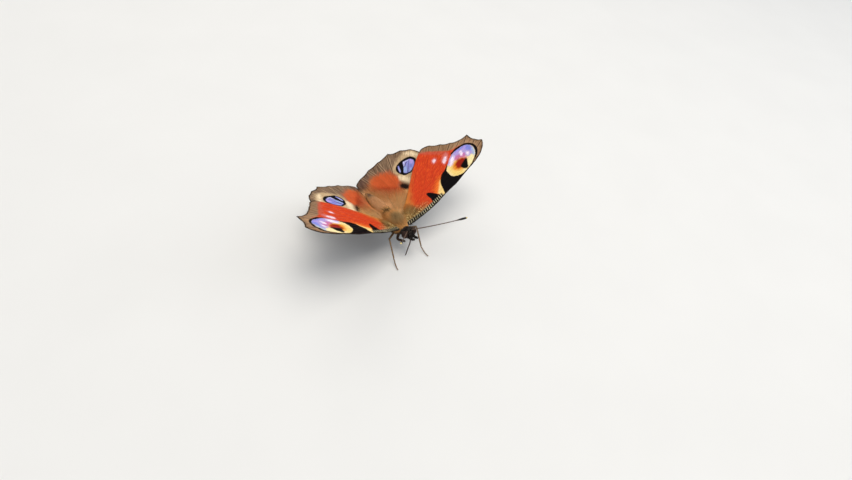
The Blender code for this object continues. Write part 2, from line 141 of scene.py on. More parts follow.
def oval(x: float, y: float, wide: float, high: float, turn: float = 0.0) -> Outline:
    """Returns eight points of an ellipse of half sizes wide and high, turned by degrees about its middle."""
    at = np.arange(8) * math.pi / 4
    c, s = math.cos(math.radians(turn)), math.sin(math.radians(turn))
    u, v = wide * np.cos(at), high * np.sin(at)
    return tuple(zip((x + u * c - v * s).tolist(), (y + u * s + v * c).tolist()))


@dataclass
class Shell:
    """Triangles in millimetres of the part's frame, each corner's place on the map, and values a point."""

    points: np.ndarray
    faces: np.ndarray
    uv: np.ndarray
    values: dict[str, np.ndarray] = field(default_factory=dict)
    slots: np.ndarray | None = None

    def facing_out(self) -> "Shell":
        """Returns itself, with its faces turned round if the volume that they enclose is below zero."""
        if np.linalg.det(self.points[self.faces] - self.points.mean(axis=0)).sum() < 0:
            self.faces, self.uv = self.faces[:, ::-1], self.uv[:, ::-1]
        return self

    def piece(self, name: str, materials: list[bpy.types.Material], slot: str, nodes: list[str]) -> None:
        """Makes the mesh object, which rides on the root body.

        Args:
            name: The piece's name.
            materials: Its materials, in the order of slots.
            slot: The record's material slot; not used.
            nodes: The solids that it stands for.
        """
        mesh = bpy.data.meshes.new(name)
        corners = self.faces.astype(np.int32).ravel()
        mesh.vertices.add(len(self.points))
        mesh.vertices.foreach_set("co", (self.points * MM).astype(np.float32).ravel())
        mesh.loops.add(len(corners))
        mesh.loops.foreach_set("vertex_index", corners)
        mesh.polygons.add(len(self.faces))
        mesh.polygons.foreach_set("loop_start", np.arange(0, len(corners), 3, dtype=np.int32))
        if self.slots is not None:
            mesh.polygons.foreach_set("material_index", self.slots.astype(np.int32))
        mesh.update(calc_edges=True)
        mesh.shade_smooth()
        layer = mesh.uv_layers.new(name=OFBAKE)
        layer.uv.foreach_set("vector", self.uv.astype(np.float32).ravel())
        for label, value in self.values.items():
            vector = value.ndim == 2
            kind = "FLOAT_VECTOR" if vector else "FLOAT"
            made = mesh.attributes.new(label, kind, "POINT")
            made.data.foreach_set("vector" if vector else "value", value.astype(np.float32).ravel())
        for material in materials:
            mesh.materials.append(material)
        obj = bpy.data.objects.new(name, mesh)
        bpy.context.scene.collection.objects.link(obj)
        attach(obj, "root")
        if nodes:
            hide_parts(*nodes)
        LOG.info("%s: %d triangles", name, len(self.faces))


def joined(shells: list[Shell]) -> Shell:
    """Returns the shells as one, each value filled with 0 where a shell lacks it."""
    starts = np.cumsum([0] + [len(s.points) for s in shells[:-1]])
    labels = {label: v.shape[1:] for s in shells for label, v in s.values.items()}
    values = {
        label: np.concatenate([s.values.get(label, np.zeros((len(s.points), *shape))) for s in shells])
        for label, shape in labels.items()
    }
    slots = [np.zeros(len(s.faces)) if s.slots is None else s.slots for s in shells]
    return Shell(
        np.concatenate([s.points for s in shells]),
        np.concatenate([s.faces + start for s, start in zip(shells, starts)]),
        np.concatenate([s.uv for s in shells]),
        values,
        np.concatenate(slots),
    )


def grid_faces(rows: int, columns: int, wrapped: bool) -> tuple[np.ndarray, np.ndarray]:
    """Triangles over a grid of points that are listed row by row.

    Args:
        rows: Rows of points.
        columns: Points in a row.
        wrapped: Whether each row closes on itself.

    Returns:
        The triangles, and each corner's (column, row) as shares of the grid.
    """
    spans = columns if wrapped else columns - 1
    i, j = (k.ravel() for k in np.meshgrid(np.arange(rows - 1), np.arange(spans), indexing="ij"))
    row = i[:, None] + np.array([0, 1, 1, 0, 1, 0])
    column = j[:, None] + np.array([0, 0, 1, 0, 1, 1])
    index = row * columns + column % columns
    return index.reshape(-1, 3), np.stack([column / spans, row / (rows - 1)], -1).reshape(-1, 3, 2)


def closed_loft(rings: np.ndarray) -> Shell:
    """A closed body: rings of equal count joined in order, with a fan to the middle of each end ring.

    Args:
        rings: Points as (ring, point of the ring, xyz).

    Returns:
        The body, with its map's u round the rings and v along them.
    """
    count, sides = rings.shape[:2]
    faces, uv = grid_faces(count, sides, True)
    points = np.vstack([rings.reshape(-1, 3), rings[0].mean(axis=0), rings[-1].mean(axis=0)])
    j = np.arange(sides)
    first = np.stack([j, (j + 1) % sides, np.full(sides, count * sides)], -1)
    last = (count - 1) * sides + np.stack([(j + 1) % sides, j, np.full(sides, sides + 1)], -1)
    round_it = np.stack([j, j + 1, j + 0.5], -1) / sides
    ends = [np.stack([round_it, np.full((sides, 3), level)], -1) for level in (0.0, 1.0)]
    ends[1] = ends[1][:, [1, 0, 2]]
    return Shell(points, np.vstack([faces, first, last]), np.concatenate([uv, *ends])).facing_out()


def tube(path: np.ndarray, radii: np.ndarray, sides: int, reference: tuple[float, float, float]) -> Shell:
    """A closed tube: at each station a circle, or an ellipse, square to the path.

    Args:
        path: The stations of its middle line.
        radii: Each station's radius, or its two radii.
        sides: Points round it.
        reference: A direction that the path never takes, from which each ring's own two are worked out.

    Returns:
        The tube.
    """
    along = unit(np.gradient(path, axis=0))
    across = unit(np.cross(along, reference))
    up = np.cross(across, along)
    angle = np.arange(sides) * 2 * math.pi / sides
    radii = np.asarray(radii, float)
    wide, high = (radii[:, 0], radii[:, 1]) if radii.ndim == 2 else (radii, radii)
    rings = (
        path[:, None]
        + (wide[:, None] * np.cos(angle))[..., None] * across[:, None]
        + (high[:, None] * np.sin(angle))[..., None] * up[:, None]
    )
    return closed_loft(rings)


@dataclass(frozen=True)
class TuftShape:
    """A tuft's form: sizes in millimetres, lift off the skin in degrees at the root, and how it lies down."""

    length: float
    width: float
    lift: float
    settle: float = 0.7  # share of the lift that is gone at the tip
    spread: float = 0.35  # how much lengths differ
    curl: float = 0.25  # sideways bend, in radians
    stations: int = 2
    sink: float = 0.03

    def grow(
        self,
        roots: np.ndarray,
        normals: np.ndarray,
        lies: np.ndarray,
        map_places: np.ndarray,
        values: dict[str, np.ndarray],
        rng: np.random.Generator,
        scale: np.ndarray | float = 1.0,
    ) -> Shell:
        """Grows one tuft a root: a tapered three-sided blade whose path turns from its lift down to the lie.

        Args:
            roots: Root points on the skin.
            normals: The skin's normals there.
            lies: Directions along the skin that the tufts lie in.
            map_places: Each root's place on the skin's map.
            values: Values of each root, which its tuft takes.
            rng: The random numbers.
            scale: A factor on each tuft's length.

        Returns:
            The tufts as closed blades, with a random tint each and their share along.
        """
        count, n = len(roots), self.stations
        length = self.length * scale * (1 + self.spread * rng.uniform(-1, 1, count))
        lift = np.radians(self.lift) * (1 + 0.35 * rng.uniform(-1, 1, count))
        curl = self.curl * rng.normal(0, 1, count)
        tint = rng.uniform(-1, 1, count)
        lies = unit(lies - normals * np.einsum("ij,ij->i", lies, normals)[:, None])
        sides = np.cross(normals, lies)
        share = np.linspace(0, 1, n + 1)
        angle = lift[:, None] * (1 - self.settle * share)
        turn = curl[:, None] * share
        along = (
            (np.cos(angle) * np.cos(turn))[..., None] * lies[:, None]
            + np.sin(angle)[..., None] * normals[:, None]
            + (np.cos(angle) * np.sin(turn))[..., None] * sides[:, None]
        )
        steps = along[:, :-1] * (length[:, None] / n)[..., None]
        start = roots - normals * self.sink
        path = np.concatenate([start[:, None], start[:, None] + np.cumsum(steps, axis=1)], axis=1)
        up = unit(np.cross(along, sides[:, None]))
        half = 0.5 * self.width * (1 - 0.8 * share[:n] ** 2)
        corner = np.array([[1.0, -0.3], [-1.0, -0.3], [0.0, 0.6]])
        rings = path[:, :n, None] + half[None, :, None, None] * (
            corner[None, None, :, :1] * sides[:, None, None] + corner[None, None, :, 1:] * up[:, :n, None]
        )
        points = np.concatenate([rings.reshape(count, -1, 3), path[:, n:]], axis=1)
        each = 3 * n + 1
        band, _ = grid_faces(n, 3, True)
        tip = [[3 * n - 3 + k, 3 * n - 3 + (k + 1) % 3, 3 * n] for k in range(3)]
        one = np.vstack([band.reshape(-1, 3), tip, [[0, 2, 1]]])
        one[: len(band)] = one[: len(band), ::-1]
        faces = (one[None] + (np.arange(count) * each)[:, None, None]).reshape(-1, 3)
        spot = np.stack([np.cos(np.arange(each) * 2.4), np.sin(np.arange(each) * 2.4)], -1) * PATCH
        places = (np.clip(map_places, 0.002, 0.998)[:, None] + spot[None]).reshape(-1, 2)
        held = {label: np.repeat(value, each, axis=0) for label, value in values.items()}
        held["tint"] = np.repeat(tint, each)
        held["along"] = np.tile(np.append(np.repeat(share[:n], 3), 1.0), count)
        return Shell(points.reshape(-1, 3), faces, places[faces], held).facing_out()


class Sock:
    """A value in a material's nodes. Arithmetic on it adds Math nodes."""

    def __init__(self, paint: "Paint", socket: bpy.types.NodeSocket) -> None:
        """Wraps the socket of one of the paint's nodes."""
        self.paint, self.socket = paint, socket

    def math(self, operation: str, *values: "Sock | float") -> "Sock":
        """Returns the Math node's result for the values in order."""
        return self.paint.add("ShaderNodeMath", {"operation": operation}, dict(enumerate(values)))

    def __add__(self, other: "Sock | float") -> "Sock":
        """Returns self + other."""
        return self.math("ADD", self, other)

    __radd__ = __add__

    def __mul__(self, other: "Sock | float") -> "Sock":
        """Returns self * other."""
        return self.math("MULTIPLY", self, other)

    __rmul__ = __mul__

    def __sub__(self, other: "Sock | float") -> "Sock":
        """Returns self - other."""
        return self.math("SUBTRACT", self, other)

    def __rsub__(self, other: float) -> "Sock":
        """Returns other - self."""
        return self.math("SUBTRACT", other, self)

    def step(self, low: float, high: float) -> "Sock":
        """Returns 0 below low, 1 above high and a smooth rise between them."""
        settings = {"interpolation_type": "SMOOTHSTEP", "clamp": True}
        return self.paint.add("ShaderNodeMapRange", settings, {0: self, 1: low, 2: high, 3: 0.0, 4: 1.0})


class Paint:
    """The nodes of one material, with one method that adds any node."""

    def __init__(self, name: str) -> None:
        """Starts a material with no nodes."""
        self.material = bpy.data.materials.new(name)
        self.material.use_nodes = True
        self.nodes, self.links = self.material.node_tree.nodes, self.material.node_tree.links
        self.nodes.clear()

    def add(
        self,
        kind: str,
        settings: dict[str, object] | None = None,
        inputs: dict[int | str, object] | None = None,
        output: int | str = 0,
    ) -> Sock:
        """Adds a node.

        Args:
            kind: Its type.
            settings: Its properties, set first.
            inputs: Values or links of its sockets, by name or number.
            output: The socket that is returned.

        Returns:
            That output.
        """
        node = self.nodes.new(kind)
        for key, value in (settings or {}).items():
            setattr(node, key, value)
        for key, value in (inputs or {}).items():
            if isinstance(value, Sock):
                self.links.new(value.socket, node.inputs[key])
            else:
                node.inputs[key].default_value = value
        return Sock(self, node.outputs[output]) if node.outputs else Sock(self, node.inputs[0])

    def value(self, label: str) -> Sock:
        """Returns the mesh's own number of that name."""
        return self.add("ShaderNodeAttribute", {"attribute_name": label}, output="Fac")

    def vector(self, label: str) -> Sock:
        """Returns the mesh's own vector of that name."""
        return self.add("ShaderNodeAttribute", {"attribute_name": label}, output="Vector")

    def place(self) -> Sock:
        """Returns the place on the object, in metres."""
        return self.add("ShaderNodeTexCoord", output="Object")

    def scaled(self, vector: Sock, by: tuple[float, float, float]) -> Sock:
        """Returns the vector times another, part by part."""
        return self.add("ShaderNodeVectorMath", {"operation": "MULTIPLY"}, {0: vector, 1: by})

    def noise(self, vector: Sock, scale: float, detail: float = 2.0) -> Sock:
        """Returns smooth noise from 0 to 1."""
        return self.add("ShaderNodeTexNoise", None, {"Vector": vector, "Scale": scale, "Detail": detail})

    def cells(self, vector: Sock, output: str) -> Sock:
        """Returns the Voronoi distance or the random colour of each cell of unit size."""
        return self.add("ShaderNodeTexVoronoi", None, {"Vector": vector, "Scale": 1.0}, output)

    def mix(self, factor: "Sock | float", a: object, b: object, blend: str = "MIX") -> Sock:
        """Returns colour a mixed to b by the factor."""
        settings = {"data_type": "RGBA", "blend_type": blend}
        return self.add("ShaderNodeMix", settings, {0: factor, 6: a, 7: b}, 2)

    def finish(
        self,
        colour: object,
        roughness: object,
        height: Sock | None = None,
        relief: float = 0.0,
        fixed: dict[str, float] | None = None,
    ) -> bpy.types.Material:
        """Ends the material in one Principled shader.

        Args:
            colour: Base colour.
            roughness: Roughness.
            height: What the bump reads, if any.
            relief: The bump's height in millimetres.
            fixed: Other sockets' values, the same all over.

        Returns:
            The material.
        """
        inputs = {"Base Color": colour, "Roughness": roughness, **(fixed or {})}
        if height is not None:
            inputs["Normal"] = self.add(
                "ShaderNodeBump", None, {"Strength": 1.0, "Distance": relief * MM, "Height": height}
            )
        shader = self.add("ShaderNodeBsdfPrincipled", None, inputs)
        self.add("ShaderNodeOutputMaterial", None, {"Surface": shader})
        return self.material


@dataclass(frozen=True)
class Marking:
    """One colour over a wing: rounded outlines in its plan, how softly they fade, and how strong they are."""

    name: str
    colour: Colour
    outlines: tuple[Outline, ...]
    softness: float = 0.08
    strength: float = 1.0
    within: str = ""  # another marking that it never leaves


INK = (12, 9, 11)
CREAM = (252, 226, 164)
LILAC = (150, 150, 220)

FORE_MARKINGS = (
    Marking("hind_edge", (206, 110, 50), (
        ((-2, -4), (17, -4), (13, -2.0), (9, -1.4), (6, -0.3), (3, 1.2), (-2, 2)),), 1.4, 0.8),
    Marking("glow", (240, 118, 44), (((8.8, 8.0), (8.9, 5.5), (10.4, 4.9), (12.8, 5.1), (14.4, 5.6), (12, 7)),), 0.8),
    Marking("cream", (252, 216, 138), (((9.0, 8.8), (8.8, 7.2), (9.2, 6.3), (10.2, 6.1), (11.4, 6.0), (13.4, 5.9), (11.5, 7.4), (10, 8.6)),), 0.4),
    Marking("band", (148, 114, 84), ((
        (21.2, -3), (21.7, 0.5), (22.1, 2.3), (22.5, 3.8), (22.8, 5.2), (23.2, 6.4), (24.2, 7.5), (25.2, 8.6), (25.8, 10),
        (25.8, 12), (24.6, 13.3), (22.5, 13.6), (20.2, 13.3), (20, 15), (24, 17), (31, 17), (31, -4)),), 0.4),
    Marking("haze", (196, 98, 78), (
        ((20.4, -2), (20.8, 1), (21.2, 3.4), (21.8, 5.4), (22.7, 5.6), (22.2, 3.2), (21.8, 1), (21.3, -2)),), 0.5, 0.55),
    Marking("tan", (192, 150, 112), (oval(23.4, 10.7, 4.0, 4.1),), 0.5, 0.6, "band"),
    Marking("ring", INK, ((
        (19, 13.2), (21.4, 13.6), (22.5, 13.95), (23.7, 14.05), (25, 13.8), (25.95, 13.15), (26.5, 12.2), (26.6, 11.1),
        (26.35, 10.15), (25.75, 9.25), (24.9, 8.4), (24, 7.7), (23, 7.2), (22, 6.9), (20, 8), (18.6, 11)),), 0.1),
    Marking("large_patch", INK, ((
        (8.6, 8.6), (9.6, 7.95), (10.8, 7.15), (11.9, 6.4), (13.1, 6.0), (14.6, 5.85), (15.6, 6.05), (16.6, 6.4),
        (18.4, 6.65), (18.6, 6.9), (17.6, 7.6), (17.4, 9.5), (18, 12.6), (15, 12.4), (12, 11)),), 0.09),
    Marking("eyespot", CREAM, ((
        (18.4, 6.85), (16.6, 6.9), (15.9, 7.55), (15.3, 8.25), (15.1, 8.95), (15.4, 9.8), (15.9, 10.7), (16.65, 11.55),
        (17.6, 12.1), (18.8, 12.65), (20.2, 13.15), (21.6, 13.4), (23.2, 13.45), (24.4, 13.15), (25.35, 12.6),
        (25.8, 11.9), (25.9, 11.0), (25.65, 10.2), (25.2, 9.55), (24.6, 8.95), (23.9, 8.4), (23.1, 7.85),
        (22.2, 7.35), (20.6, 6.9)),), 0.1),
    Marking("yellow", (252, 214, 116), (oval(17.6, 9.4, 1.9, 2.4, 60),), 0.7, 0.8, "eyespot"),
    Marking("amber", (232, 140, 44), (
        ((17.3, 8.7), (17.1, 9.5), (17.4, 10.3), (18.0, 11.1), (19, 11.6), (21.2, 11.6), (21.8, 11), (21.4, 9.4),
         (20.2, 8.6), (18.6, 8.2)),), 0.6, 1.0, "eyespot"),
    Marking("lilac", (180, 162, 218), (
        ((22.4, 13.0), (24.6, 12.8), (25.9, 11.6), (26, 10.2), (25.2, 9.0), (23.8, 7.8), (21.8, 6.7), (18.4, 6.7),
         (18.6, 7.9), (21.2, 8.7), (22.1, 10.4), (22.2, 11.8)),), 0.45, 1.0, "eyespot"),
    Marking("blue", (132, 140, 222), (
        ((24.1, 12.4), (25.2, 12.1), (26.2, 11.2), (26.2, 10.1), (25.5, 9.1), (24.4, 8.1), (23.2, 7.5), (22.6, 7.8),
         (23.6, 8.9), (24.3, 9.9), (24.2, 11.2)),), 0.4, 0.95, "eyespot"),
    Marking("violet", (184, 156, 222), (oval(24.6, 9.9, 0.8, 0.3, 30), oval(22.7, 8.3, 0.9, 0.3, 30)), 0.35, 0.8, "eyespot"),
    Marking("ice", (172, 196, 222), (
        ((22.9, 13.4), (24.4, 13.1), (25.2, 12.4), (25.0, 11.9), (24.2, 12.3), (23.2, 12.7)),), 0.35, 0.8, "eyespot"),
    Marking("mauve", (204, 104, 160), (
        ((21.2, 11.2), (22.4, 11.0), (23.2, 10.5), (22.6, 9.4), (21.6, 8.4), (20.3, 8.1), (20.3, 8.9), (21.5, 10.1)),),
        0.4, 0.85, "eyespot"),
    Marking("maroon", (156, 36, 22), (
        ((17.9, 9.5), (18.2, 10.5), (19.2, 11.2), (21.0, 11.2), (21.5, 10.6), (21.0, 9.7), (20.2, 9.1), (18.9, 8.9)),), 0.4),
    Marking("pupil", INK, (
        ((18.1, 11.3), (18.2, 12.0), (18.8, 12.4), (19.4, 12.35), (20.5, 11.9), (21.3, 11.6), (21.5, 11.25), (20.4, 10.85),
         (19.3, 10.5), (18.5, 10.45)),), 0.18),
    Marking("brow", (253, 236, 178), (
        ((19.2, 12.5), (20.2, 13.05), (21.4, 13.2), (22.6, 13.1), (23.1, 12.5), (22.1, 12.0), (21.1, 11.9), (20.2, 12.15)),),
        0.22, 1.0, "eyespot"),
    Marking("pearl", (252, 236, 250), (
        oval(23.2, 11.4, 0.55, 0.4), oval(22.9, 9.6, 0.75, 0.38, -12), oval(19.9, 7.65, 1.9, 0.42, 3)),
        0.36, 0.95, "eyespot"),
    Marking("small_patch", INK, (((7.3, 7.2), (8.7, 7.3), (8.9, 6.0), (9.0, 4.65), (8.85, 3.6), (8.35, 3.15), (7.7, 3.8), (7.2, 4.65), (6.45, 5.25), (6.3, 5.8), (7.1, 6.1)),), 0.1),
    Marking("spot_halo", (216, 128, 122), (oval(20.3, 5.65, 2.0, 0.8), oval(19.0, 2.85, 1.0, 0.6)), 0.5, 0.85),
    Marking("spots", (246, 216, 230), (oval(19.8, 5.65, 1.15, 0.4), oval(18.95, 2.85, 0.62, 0.4)), 0.26),
    Marking("hind_glow", (208, 138, 66), (((-2, -4), (8, -4), (8, -1.7), (5.5, -0.9), (3.6, 0.6), (-2, 1.2)),), 1.2, 0.75),
    Marking("base", (156, 110, 60), (((-3, -3), (1.2, -3), (2.6, -1), (3.0, 1), (2.6, 3), (1.6, 4.2), (-3, 3)),), 1.7),
)

HIND_MARKINGS = (
    Marking("inner", (214, 164, 110), (
        ((-2, 1), (4, 4), (8.5, 4), (9.4, 0.5), (8.9, -2.5), (8.4, -5.5), (7.8, -9), (6.4, -12.0), (4.6, -14.4), (2.6, -13),
         (0.5, -5), (-2, -2)),), 1.1),
    Marking("ember", (210, 128, 70), (
        ((2.8, -3.2), (5.5, -1.4), (8.2, -2.0), (9.6, -5.2), (9.6, -10.4), (7.4, -13.4), (4.9, -13.8), (3.6, -9.8),
         (2.6, -6.0)),), 1.5, 0.85),
    Marking("rust", (203, 90, 47), (
        ((4.8, -3.9), (6.6, -2.9), (8.8, -3.6), (10.7, -4.9), (11.5, -6.8), (11.4, -9.0), (10.1, -11.2), (8.6, -12.4),
         (6.5, -12.6), (5.2, -10.6), (4.6, -8.2), (4.3, -5.8)),), 1.3),
    Marking("cream", (204, 174, 134), (
        ((9.4, -1.0), (12.6, -0.6), (18.4, -1.6), (20.2, -3.8), (19.8, -6.2), (17.9, -7.9), (15.5, -8.4), (12.9, -8.3),
         (11.6, -7.3), (10.9, -5.4), (9.6, -4.0)),), 0.6),
    Marking("pale_cream", (250, 226, 186), (
        ((18.7, -2.6), (19.5, -3.8), (19.3, -5.9), (18.4, -7.2), (18.2, -5.6), (18.5, -4.2)),
        ((10.0, -4.6), (11.3, -5.6), (11.6, -3.6), (11.2, -1.6), (10.0, -1.6))), 0.5, 0.85),
    Marking("eye", INK, ((
        (11.7, -5.0), (11.75, -4.1), (12.4, -3.3), (13.4, -2.6), (15.3, -2.5), (17.1, -2.9), (17.9, -3.6), (18.0, -4.6),
        (17.7, -5.5), (16.9, -6.4), (15.8, -7.0), (14.7, -7.45), (13.6, -7.6), (12.7, -7.25), (12.0, -6.4)),), 0.12),
    Marking("lilac", LILAC, (
        ((15.6, -6.35), (16.5, -5.6), (17.05, -4.9), (17.2, -4.05), (16.85, -3.45), (15.65, -2.95), (14.3, -2.9),
         (13.4, -3.1), (12.8, -3.6), (12.45, -4.5), (13.3, -5.05), (14.3, -5.5), (15.0, -6.05)),
        ((12.2, -5.7), (12.45, -5.55), (13.3, -6.25), (14.05, -6.95), (13.85, -7.15), (12.9, -6.5))), 0.12),
    Marking("violet", (186, 162, 232), (oval(16.6, -4.2, 0.75, 0.5, -20),), 0.35, 0.85, "lilac"),
    Marking("deep_blue", (116, 124, 206), (oval(14.9, -3.6, 0.9, 0.3, -22),), 0.3, 0.8, "lilac"),
    Marking("sky", (158, 182, 228), (oval(13.6, -4.7, 1.1, 0.45, -24), oval(13.9, -3.2, 0.8, 0.2, -10)), 0.3, 0.9, "lilac"),
    Marking("pearl", (214, 212, 244), (
        ((15.65, -6.3), (15.0, -5.95), (14.5, -5.55), (14.65, -5.4), (15.3, -5.75), (15.85, -6.1)),
        ((16.1, -6.0), (16.55, -5.5), (16.75, -5.0), (16.5, -5.1), (16.25, -5.5), (15.9, -5.8)),
        oval(12.9, -6.1, 0.7, 0.1, -40)), 0.16, 0.95, "lilac"),
    Marking("vein_line", (40, 32, 82), (
        ((12.9, -3.45), (14.2, -3.98), (15.2, -4.4), (16.7, -4.95), (16.6, -5.05), (15.1, -4.56), (14.1, -4.2), (12.9, -3.75)),
        ((14.3, -5.12), (15.0, -5.28), (15.6, -5.3), (16.05, -5.2), (15.95, -5.45), (15.4, -5.58), (14.8, -5.5), (14.3, -5.3))),
        0.12, 0.75),
    # Painted light: a pale patch on the hair by the forewing's hind edge, against the shadow that the forewing casts
    # there.
    Marking("painted_light_by_forewing", (240, 186, 120), (
        ((5.6, 2.4), (8.0, 2.6), (9.0, 0.2), (7.4, -1.6), (5.4, -0.6)),), 0.9, 0.8),
    # The inner margin's pale hair, made paler still as painted light against the shade in the groove between the
    # hindwing and the abdomen.
    Marking("valley", (255, 206, 150), (
        ((-1.5, -2.5), (1.6, -3.0), (2.3, -7.5), (3.3, -12.5), (1.6, -14.2), (-0.5, -9.0)),), 0.8, 0.85),
    Marking("smudge_haze", (112, 78, 62), (oval(8.8, -2.9, 1.3, 1.8),), 0.6, 0.55),
    Marking("smudge", (34, 20, 16), (oval(8.5, -2.5, 0.9, 1.4),), 0.45),
    Marking("tail_shade", (98, 74, 66), (((3.6, -12.6), (7.5, -13.4), (10, -14.3), (13, -13.6), (12, -18), (3, -18)),), 0.8, 0.8),
)

UNDER_MARKINGS = (
    Marking("pale_field", (98, 82, 68), (
        ((12, -8), (15, 2), (13, 12), (20, 18), (31, 17), (30, -4), (22, -14), (14, -10)),), 1.5),
    Marking("dark_base", (33, 25, 23), (
        ((-3, -6), (3, -12), (7, -12), (9.6, -9), (10.4, -3), (11.6, 1), (10.6, 5), (11.6, 12), (4, 9), (-3, 4)),), 0.9, 0.85),
    Marking("dark_bar", (22, 16, 15), (
        ((9.5, -9), (10.2, -3), (11.5, 1), (10.5, 5), (11.5, 12), (13.5, 12), (13.0, 5), (14, 1), (12.4, -4), (12, -10)),),
        0.35),
    Marking("lead_line", (84, 84, 88), (
        ((21.2, -2), (22.4, 3), (24.6, 7.6), (26.2, 11), (26.5, 11), (25.0, 7.6), (22.8, 3), (21.6, -2)),
        ((10.2, -12.2), (13.6, -11.0), (15.6, -8.6), (16.8, -5.0), (17.1, -5.0), (16.0, -8.8), (13.8, -11.3),
         (10.2, -12.5))), 0.25, 0.7),
    Marking("speck", (206, 190, 160), (oval(10.3, -3.4, 0.22, 0.16),), 0.12),
)


@dataclass(frozen=True)
class WingFinish:
    """The colours of one pair of wings and how their scales look."""

    name: str
    ground: Colour
    flush: Colour  # the tone that the ground takes along its rays
    markings: tuple[Marking, ...]
    streaks: float = 0.10
    edge: Colour = (38, 28, 24)
    ray_dark: Colour = (78, 56, 42)
    ray_pale: Colour = (190, 158, 124)
    hair_dark: Colour = (190, 140, 84)
    hair_light: Colour = (246, 222, 164)
    hair_root: Colour = (198, 152, 76)  # the hair's tone by the thorax
    root_share: float = 0.0
    under: Colour = (52, 40, 34)
    scale_width: float = 0.075
    scale_length: float = 0.13
    dash_pitch: float = 0.68
    outer_rays: float = 1.0  # how strongly the outer field is rayed

    def values(self, flat: np.ndarray) -> dict[str, np.ndarray]:
        """Returns each marking's depth at points of the plan, for both sides of the wing."""
        found = {f"up_{m.name}": depth_in(flat, m.outlines) for m in self.markings}
        found.update({f"low_{m.name}": depth_in(flat, m.outlines) for m in UNDER_MARKINGS})
        return found

    def material(self, coating: Coating) -> bpy.types.Material:
        """Paints the markings one over the other, their edges broken by rows of scales.

        Args:
            coating: Which side, or the hair.

        Returns:
            The material.
        """
        paint = Paint(f"{self.name}_{coating.value}")
        ray = paint.vector("ray")
        row = paint.scaled(ray, (1 / self.scale_width, 1 / self.scale_length, 0.0))
        if coating is Coating.HAIR:
            grain = paint.value("tint") * 0.5 + 0.5
        else:
            grain = paint.cells(row, "Color")
        streak = paint.noise(paint.scaled(ray, (1.0, 0.16, 0.0)), 4.5, 3.0)
        drift = paint.noise(paint.vector("plan"), 0.35)
        under = coating is Coating.UNDER
        prefix, markings = ("low", UNDER_MARKINGS) if under else ("up", self.markings)
        colour = linear(self.under if under else self.ground)
        if not under:
            colour = paint.mix(streak.step(0.4, 0.75) * 0.7, colour, linear(self.flush))
        jag = (grain - 0.5) * 0.16
        masks = {}
        for mark in markings:
            depth = paint.value(f"{prefix}_{mark.name}") + jag
            if mark.softness > 0.2:
                depth = depth + (streak - 0.5) * mark.softness * 2.6
            masks[mark.name] = depth.step(-mark.softness, mark.softness) * mark.strength
            mask = masks[mark.name] * masks[mark.within] if mark.within else masks[mark.name]
            colour = paint.mix(mask, colour, linear(mark.colour))
        if under:
            plan = paint.vector("plan")
            wave = paint.add(
                "ShaderNodeTexWave",
                {"bands_direction": "Y"},
                {"Vector": ray, "Scale": 0.62, "Distortion": 9.0, "Detail": 4.0, "Detail Scale": 1.6},
                "Fac",
            )
            colour = paint.mix(wave.step(0.55, 0.95) * 0.5, colour, linear((22, 17, 16)))
            colour = paint.mix(paint.noise(plan, 3.5).step(0.62, 0.8) * 0.35, colour, linear((120, 104, 88)))
        colour = self.costa(paint, colour, grain, under)
        colour = self.rays(paint, colour, ray, 0.3 if under else self.outer_rays)
        rim = paint.value("rim") + jag * 1.2 + (streak - 0.5) * 0.2
        colour = paint.mix(1.0 - rim.step(0.1, 0.36), colour, linear(self.edge))
        shade = 1.0 + (grain - 0.5) * 0.34 + (streak - 0.5) * 2 * self.streaks + (drift - 0.5) * 0.16
        if coating is Coating.HAIR:
            clump = paint.noise(paint.vector("plan"), 1.6, 3.0).step(0.3, 0.7)
            gold = paint.mix(grain * 0.55 + clump * 0.45, linear(self.hair_dark), linear(self.hair_light))
            near = (1.0 - (paint.value("reach") + (clump - 0.5) * 3.0).step(2.5, 8.0)) * self.root_share
            gold = paint.mix(near, gold, linear(self.hair_root))
            colour = paint.mix(paint.value("golden"), colour, gold)
            lock = paint.noise(paint.scaled(ray, (1.0, 0.14, 0.0)), 1.1, 3.0).step(0.34, 0.66)
            # Painted light: the hair's colour is lifted by 1.15 over the wing's, against the shade that the tufts cast
            # on one another.
            colour = paint.mix(1.0, colour, (shade + (lock - 0.5) * 0.4 * paint.value("golden")) * 1.15, "MULTIPLY")
            return paint.finish(colour, 0.65, fixed={"Specular IOR Level": 0.15})
        colour = paint.mix(1.0, colour, shade, "MULTIPLY")
        ridge = paint.cells(row, "Distance").step(0.1, 0.75)
        height = (1.0 - ridge) + (grain - 0.5) * 0.5 + streak
        rough = 0.5 + (grain - 0.5) * 0.2
        return paint.finish(colour, rough, height, 0.012, {"Specular IOR Level": 0.03})

    def rays(self, paint: Paint, colour: Sock, ray: Sock, strength: float) -> Sock:
        """Returns the colour with dark veins between pale lines, and fine rays over the wing's outer field."""
        outer, tone, vein = paint.value("outer") * strength, paint.value("vein_tone"), paint.value("vein")
        fine = paint.noise(paint.scaled(ray, (5.5, 0.3, 0.0)), 1.0, 2.0)
        broad = paint.noise(paint.scaled(ray, (1.6, 0.15, 0.0)), 1.0, 2.0)
        colour = paint.mix(outer * broad.step(0.45, 0.7) * 0.4, colour, linear(self.ray_dark))
        colour = paint.mix(outer * fine.step(0.53, 0.66) * 0.6, colour, linear(self.ray_dark))
        colour = paint.mix(outer * (1.0 - fine.step(0.32, 0.44)) * 0.4, colour, linear(self.ray_pale))
        pale = vein.step(0.12, 0.2) * (1.0 - vein.step(0.3, 0.42))
        colour = paint.mix(pale * outer * 0.55, colour, linear(self.ray_pale))
        return paint.mix((1.0 - vein.step(0.06, 0.17)) * tone, colour, linear((44, 30, 26)))

